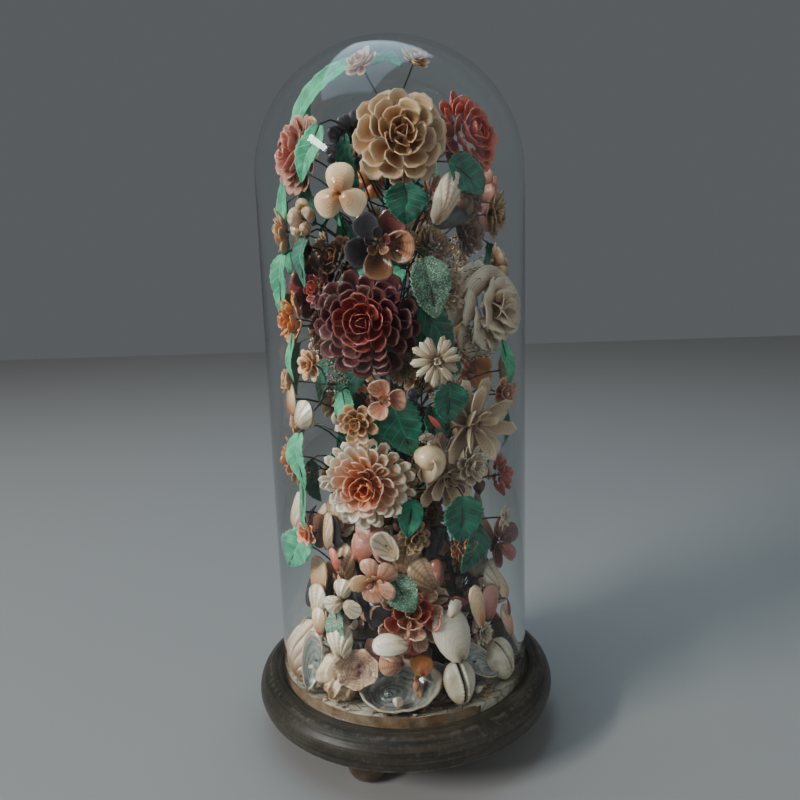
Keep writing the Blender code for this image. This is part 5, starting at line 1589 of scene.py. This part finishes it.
class DOME_OT_ground_shells(bpy.types.Operator):
    """Bed the large shells round the foot of the mound"""
    bl_idname = "dome.ground_shells"
    bl_label = "Shells at the foot"

    def execute(self, context):
        sizes = context.scene.dome_bouquet
        draw = random.Random(sizes.seed + 6)
        self.fan("cockle_large", "big_cockle", (-70, 0, 73), -66, 14, 20, 46, 44, "ribbed_shell")
        self.fan("cockle_back_left", "big_cockle", (-140, 0, 70), -140, 14, 0, 44, 42, "white_shell")
        self.oyster(sizes.wire)
        self.fan("scallop_white", "clam_back", (27, 48, 72), 22, 14, 12, 38, 27, "ivory_shell")
        self.ormer()
        self.cowrie("cowrie_front", (28, 79), 26, 24, -6, 32, 23)
        self.cowrie("cowrie_right", (60, 79), 46, 14, 10, 34, 23)
        self.whelk()
        self.spares(draw, sizes.wire)
        return {"FINISHED"}

    @staticmethod
    def bedded(obj, node):
        """Sets a shell down to the height of its node's lowest point."""
        lowest = min(vertex.co.z for vertex in obj.data.vertices)
        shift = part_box(node)[0].z - lowest
        for vertex in obj.data.vertices:
            vertex.co.z += shift

    def fan(self, node, shell, place, turned_to, lean, spin, length, width, finish):
        """One large half shell, its hinge down, standing in for its node."""
        heap = Heap()
        axes, middle = facing(turned_to, lean, spin), spot(*place)
        size, wide = length * UNIT, width * UNIT
        heap.add(MASTERS[shell], placed(axes, middle, hinged(size, wide, size)), 0.9, 0.75)
        wired = place[1] > 0
        if wired:
            hold(heap, middle, -axes.col[2], 0.001, 1)
        built = heap.build(f"{node}_shell", (finish, "wire"))
        if not wired:
            self.bedded(built, node)
        ride_as(built, SLOTS.get(finish, finish), node)

    def oyster(self, wire):
        """The pink oyster: a thin ruffled cup with lobes round its rim."""
        node = "oyster_pink"
        axes, middle = facing(-14, 24, 20), spot(-25, 28, 78)
        half, bowl = 15.5 * UNIT, 6 * UNIT

        def shape(u, v):
            a = TURN * u
            lobe = math.cos(7 * a) + 0.5 * math.cos(3 * a + 1)
            reach = half * v * (1 + 0.05 * lobe * v + 0.015 * math.cos(19 * a) * v)
            frill = 0.0015 * math.cos(7 * a + 0.6) * v ** 4 + 0.0005 * math.cos(26 * a + 3 * v) * v
            frill += 0.0010 * math.cos(3 * a + 5 * v)
            terrace = 0.0004 * math.cos(24 * v + 2 * math.cos(3 * a))
            level = -bowl * (1 - v * v) + frill + terrace + 0.0014 * v * math.sin(a)
            return Vector((reach * math.cos(a), reach * math.sin(a) * 0.92, level))

        obj = grid_sheet(84, 16, shape, 0.0)
        finish_modifier(obj, "SOLIDIFY", thickness=0.0007, offset=-1.0)
        obj.data.transform(Matrix.Translation(middle) @ axes.to_4x4())
        heap = Heap()
        heap.add(master_of(obj), bloom=0.45, tone=0.6)
        back = -axes.col[2]
        hold(heap, middle + back * bowl, back, wire, 1)
        ride_as(heap.build("oyster_shell", ("ruffled_shell", "wire")), "pink_shell", node)

    def ormer(self):
        """The ear shell: a pearly dish with a thick lip and a coiled boss."""
        node = "ormer_dish"
        axes = facing(-3, 56, 8)
        middle = spot(-3, 19, 70.6)
        half, bowl = 29 * UNIT, 12 * UNIT

        def shape(u, v):
            a = TURN * u
            c, s = math.cos(a), math.sin(a)
            edge = 1.0 / math.hypot(c, s / 0.74) * (1 + 0.02 * math.sin(5 * a) + 0.012 * math.sin(13 * a))
            reach = half * v * edge
            slide = (1 - v) * half * -0.30
            boss = math.exp(-((v / 0.24) ** 2))
            coil = 0.0018 * boss * math.cos(a + v * 40)
            lip = 0.0018 * smooth_step(v, 0.88, 1.0) + 0.0006 * math.sin(v * 26 + a) * v
            level = -bowl * (1 - v ** 2.4) * 0.92 + 0.0042 * boss + coil + lip
            return Vector((reach * c + slide, reach * s, level))

        obj = grid_sheet(64, 20, shape, 0.0)
        finish_modifier(obj, "SOLIDIFY", thickness=0.0016, offset=-1.0)
        obj.name = obj.data.name = "ormer_shell"
        obj.data.transform(Matrix.Translation(middle) @ axes.to_4x4())
        self.bedded(obj, node)
        obj.data.materials.append(FINISHES["nacre"])
        obj.data.shade_smooth()
        ride_as(obj, "nacre", node)
        heap = Heap()
        for shell, place, size, lean, slot in (("turret", (0.011, 0.001, -0.003), (8, 17, 8), 0.5, 0),
                                               ("snail", (-0.004, -0.013, -0.003), (9, 9, 9), 0.3, 1)):
            local = Matrix.Translation(place) @ Matrix.Rotation(lean, 4, "X")
            local = local @ Matrix.Diagonal((*(side * UNIT for side in size), 1))
            heap.add(MASTERS[shell], placed(axes, middle, local), 0.3, 0.8, slot)
        ride_as(heap.build("shells_in_the_dish", ("amber_shell", "white_shell")), "pink_shell")

    def cowrie(self, node, place, turned_to, lean, spin, length, width):
        """A cowrie that shows its toothed slit, from a sphere shaped point by point."""
        deselect_all()
        bpy.ops.mesh.primitive_uv_sphere_add(segments=96, ring_count=64, radius=1)
        obj = bpy.context.object
        obj.name = obj.data.name = f"{node}_shell"
        obj.data.transform(Matrix.Rotation(-math.pi / 2, 4, "X"))
        mask = obj.data.attributes.new("bloom", "FLOAT", "POINT")
        for vertex in obj.data.vertices:
            x, y, z = vertex.co
            slit = lips = teeth = 0.0
            if z > 0:
                away = abs(x + 0.10 * math.sin(2.2 * y))
                slit = math.exp(-(away / 0.085) ** 2) * smooth_step(1 - abs(y), 0.0, 0.16)
                lips = 0.10 * math.exp(-((away - 0.22) / 0.11) ** 2) * smooth_step(1 - abs(y), 0.0, 0.3)
                teeth = 0.5 * lips * math.cos(40 * y)
            # The slit's depth is kept as the mask of the painted shade in the opening.
            mask.data[vertex.index].value = min(1.0, slit * 1.3)
            depth = z * (0.62 if z > 0 else 0.86) - 0.42 * slit + lips + teeth
            egg = (1 + 0.16 * y) * width * UNIT / 2
            vertex.co = (x * egg, y * length * UNIT / 2, depth * width * UNIT / 2)
        axes = facing(turned_to, lean, spin)
        obj.data.transform(Matrix.Translation(spot(place[0], 0, place[1])) @ axes.to_4x4())
        self.bedded(obj, node)
        obj.data.materials.append(FINISHES["cowrie_glaze"])
        obj.data.shade_smooth()
        ride_as(obj, "white_shell", node)

    def whelk(self):
        """The thorny whelk: a knobbed coil with its mouth to the front."""
        node = "whelk_thorny"
        heap = Heap()
        axes = facing(-40, 26, -14 + 180)
        length, width = 37 * UNIT, 29 * UNIT
        local = Matrix.Diagonal((width, length, width, 1))
        heap.add(MASTERS["whelk"], placed(axes, spot(-37, 14, 77), local), 0.9, 0.75)
        whelk = heap.build("whelk_shell", ("tan_shell",))
        self.bedded(whelk, node)
        ride_as(whelk, "tan_shell", node)

    def spares(self, draw, wire):
        heap = Heap()
        used = sorted({row[-1] for row in SPARE_SHELLS})
        for shell, azimuth, height, reach, turn, lean, spin, length, width, finish in SPARE_SHELLS:
            axes, middle = facing(azimuth + turn, lean, spin), spot(azimuth, height, reach)
            size, wide = length * UNIT, width * UNIT
            thick = math.sqrt(size * wide)
            local = hinged(size, wide, thick)
            if shell == "snail":
                local = Matrix.Rotation(1.0, 4, "X") @ Matrix.Diagonal((wide, size, thick, 1))
            heap.add(MASTERS[shell], placed(axes, middle, local), draw.uniform(0.5, 1.0),
                     draw.uniform(0.3, 1.0), used.index(finish))
            if height > 0.5 * length and reach - carrier_radius(height) > 5:
                back = middle - axes.col[2] * 0.1 * size
                hold(heap, back, -axes.col[2], wire * 1.3, len(used))
        ride_as(heap.build("lower_shells", (*used, "wire")), "tan_shell")


class DOME_OT_stage(bpy.types.Operator):
    """Set the floor, the lamps and the camera"""
    bl_idname = "dome.stage"
    bl_label = "Stage"

    def execute(self, context):
        sizes = context.scene.dome_stage
        deselect_all()
        bpy.ops.mesh.primitive_plane_add(size=sizes.floor)
        floor = bpy.context.object
        floor.name = "floor"
        bpy.ops.object.mode_set(mode="EDIT")
        bpy.ops.mesh.select_all(action="SELECT")
        bpy.ops.mesh.subdivide(number_cuts=3)
        bpy.ops.object.mode_set(mode="OBJECT")
        _, shader = new_material("pale_floor")
        shader.inputs["Base Color"].default_value = (0.52, 0.51, 0.49, 1.0)
        shader.inputs["Roughness"].default_value = 0.8
        floor.data.materials.append(FINISHES["pale_floor"])
        self.lamps(context, sizes)
        self.camera(context, sizes)
        return {"FINISHED"}

    @staticmethod
    def lamps(context, sizes):
        aim = Vector((0, 0, 0.26))
        rows = (
            ("key", (-2.35, -1.35, 1.5), sizes.key, 1.0, 0.22, -26, (1.0, 0.985, 0.96)),
            ("fill", (1.9, -1.3, 0.9), sizes.fill, 2.4, 2.4, 0, (0.92, 0.96, 1.0)),
            ("top", (-0.25, 0.15, 1.7), sizes.fill, 1.5, 0.9, 0, (0.55, 0.80, 1.0)),
        )
        for name, place, power, wide, tall, tip, colour in rows:
            lamp = bpy.data.lights.new(name, "AREA")
            lamp.shape = "RECTANGLE"
            lamp.energy, lamp.size, lamp.size_y, lamp.color = power, wide, tall, colour
            holder = bpy.data.objects.new(name, lamp)
            context.scene.collection.objects.link(holder)
            holder.location = place
            holder.rotation_euler = (aim - Vector(place)).to_track_quat("-Z", "Y").to_euler()
            holder.rotation_euler.rotate_axis("Z", math.radians(tip))
        world = bpy.data.worlds.new("studio")
        context.scene.world = world
        world.use_nodes = True
        background = world.node_tree.nodes["Background"]
        background.inputs["Color"].default_value = (0.80, 0.86, 0.92, 1.0)
        background.inputs["Strength"].default_value = 0.13

    @staticmethod
    def camera(context, sizes):
        """The camera of the photograph: close, a little above, and rolled by under two degrees."""
        camera = bpy.data.cameras.new("camera")
        camera.lens, camera.sensor_width = sizes.focal, 36.0
        holder = bpy.data.objects.new("camera", camera)
        context.scene.collection.objects.link(holder)
        pitch, roll = math.radians(9.83), math.radians(1.79)
        turn = Matrix.Rotation(math.pi / 2 - pitch, 3, "X") @ Matrix.Rotation(-roll, 3, "Z")
        holder.matrix_world = Matrix.Translation((0.0022, -0.5198, 0.3432)) @ turn.to_4x4()
        context.scene.camera = holder


class DOME_PT_panel(bpy.types.Panel):
    """The steps of the dome, in the order that they are made"""
    bl_label = "Shell Dome"
    bl_idname = "DOME_PT_panel"
    bl_space_type = "VIEW_3D"
    bl_region_type = "UI"
    bl_category = "Shell Dome"

    def draw(self, context):
        for step in STEPS:
            self.layout.operator(step.bl_idname)


STEPS = (
    DOME_OT_finishes, DOME_OT_glass, DOME_OT_base, DOME_OT_ground, DOME_OT_mound, DOME_OT_blossoms,
    DOME_OT_clusters, DOME_OT_sprigs, DOME_OT_leaves, DOME_OT_filling, DOME_OT_ground_shells, DOME_OT_stage,
)
GROUPS = (GlassSizes, WoodColours, BouquetSizes, StageSizes)


def register():
    for kind in (*GROUPS, *STEPS, DOME_PT_panel):
        bpy.utils.register_class(kind)
    bpy.types.Scene.dome_glass = PointerProperty(type=GlassSizes)
    bpy.types.Scene.dome_wood = PointerProperty(type=WoodColours)
    bpy.types.Scene.dome_bouquet = PointerProperty(type=BouquetSizes)
    bpy.types.Scene.dome_stage = PointerProperty(type=StageSizes)


def unregister():
    for name in ("dome_glass", "dome_wood", "dome_bouquet", "dome_stage"):
        delattr(bpy.types.Scene, name)
    for kind in reversed((*GROUPS, *STEPS, DOME_PT_panel)):
        bpy.utils.unregister_class(kind)


def main():
    register()
    for step in STEPS:
        getattr(bpy.ops.dome, step.bl_idname.removeprefix("dome."))()


if __name__ == "__main__":
    main()
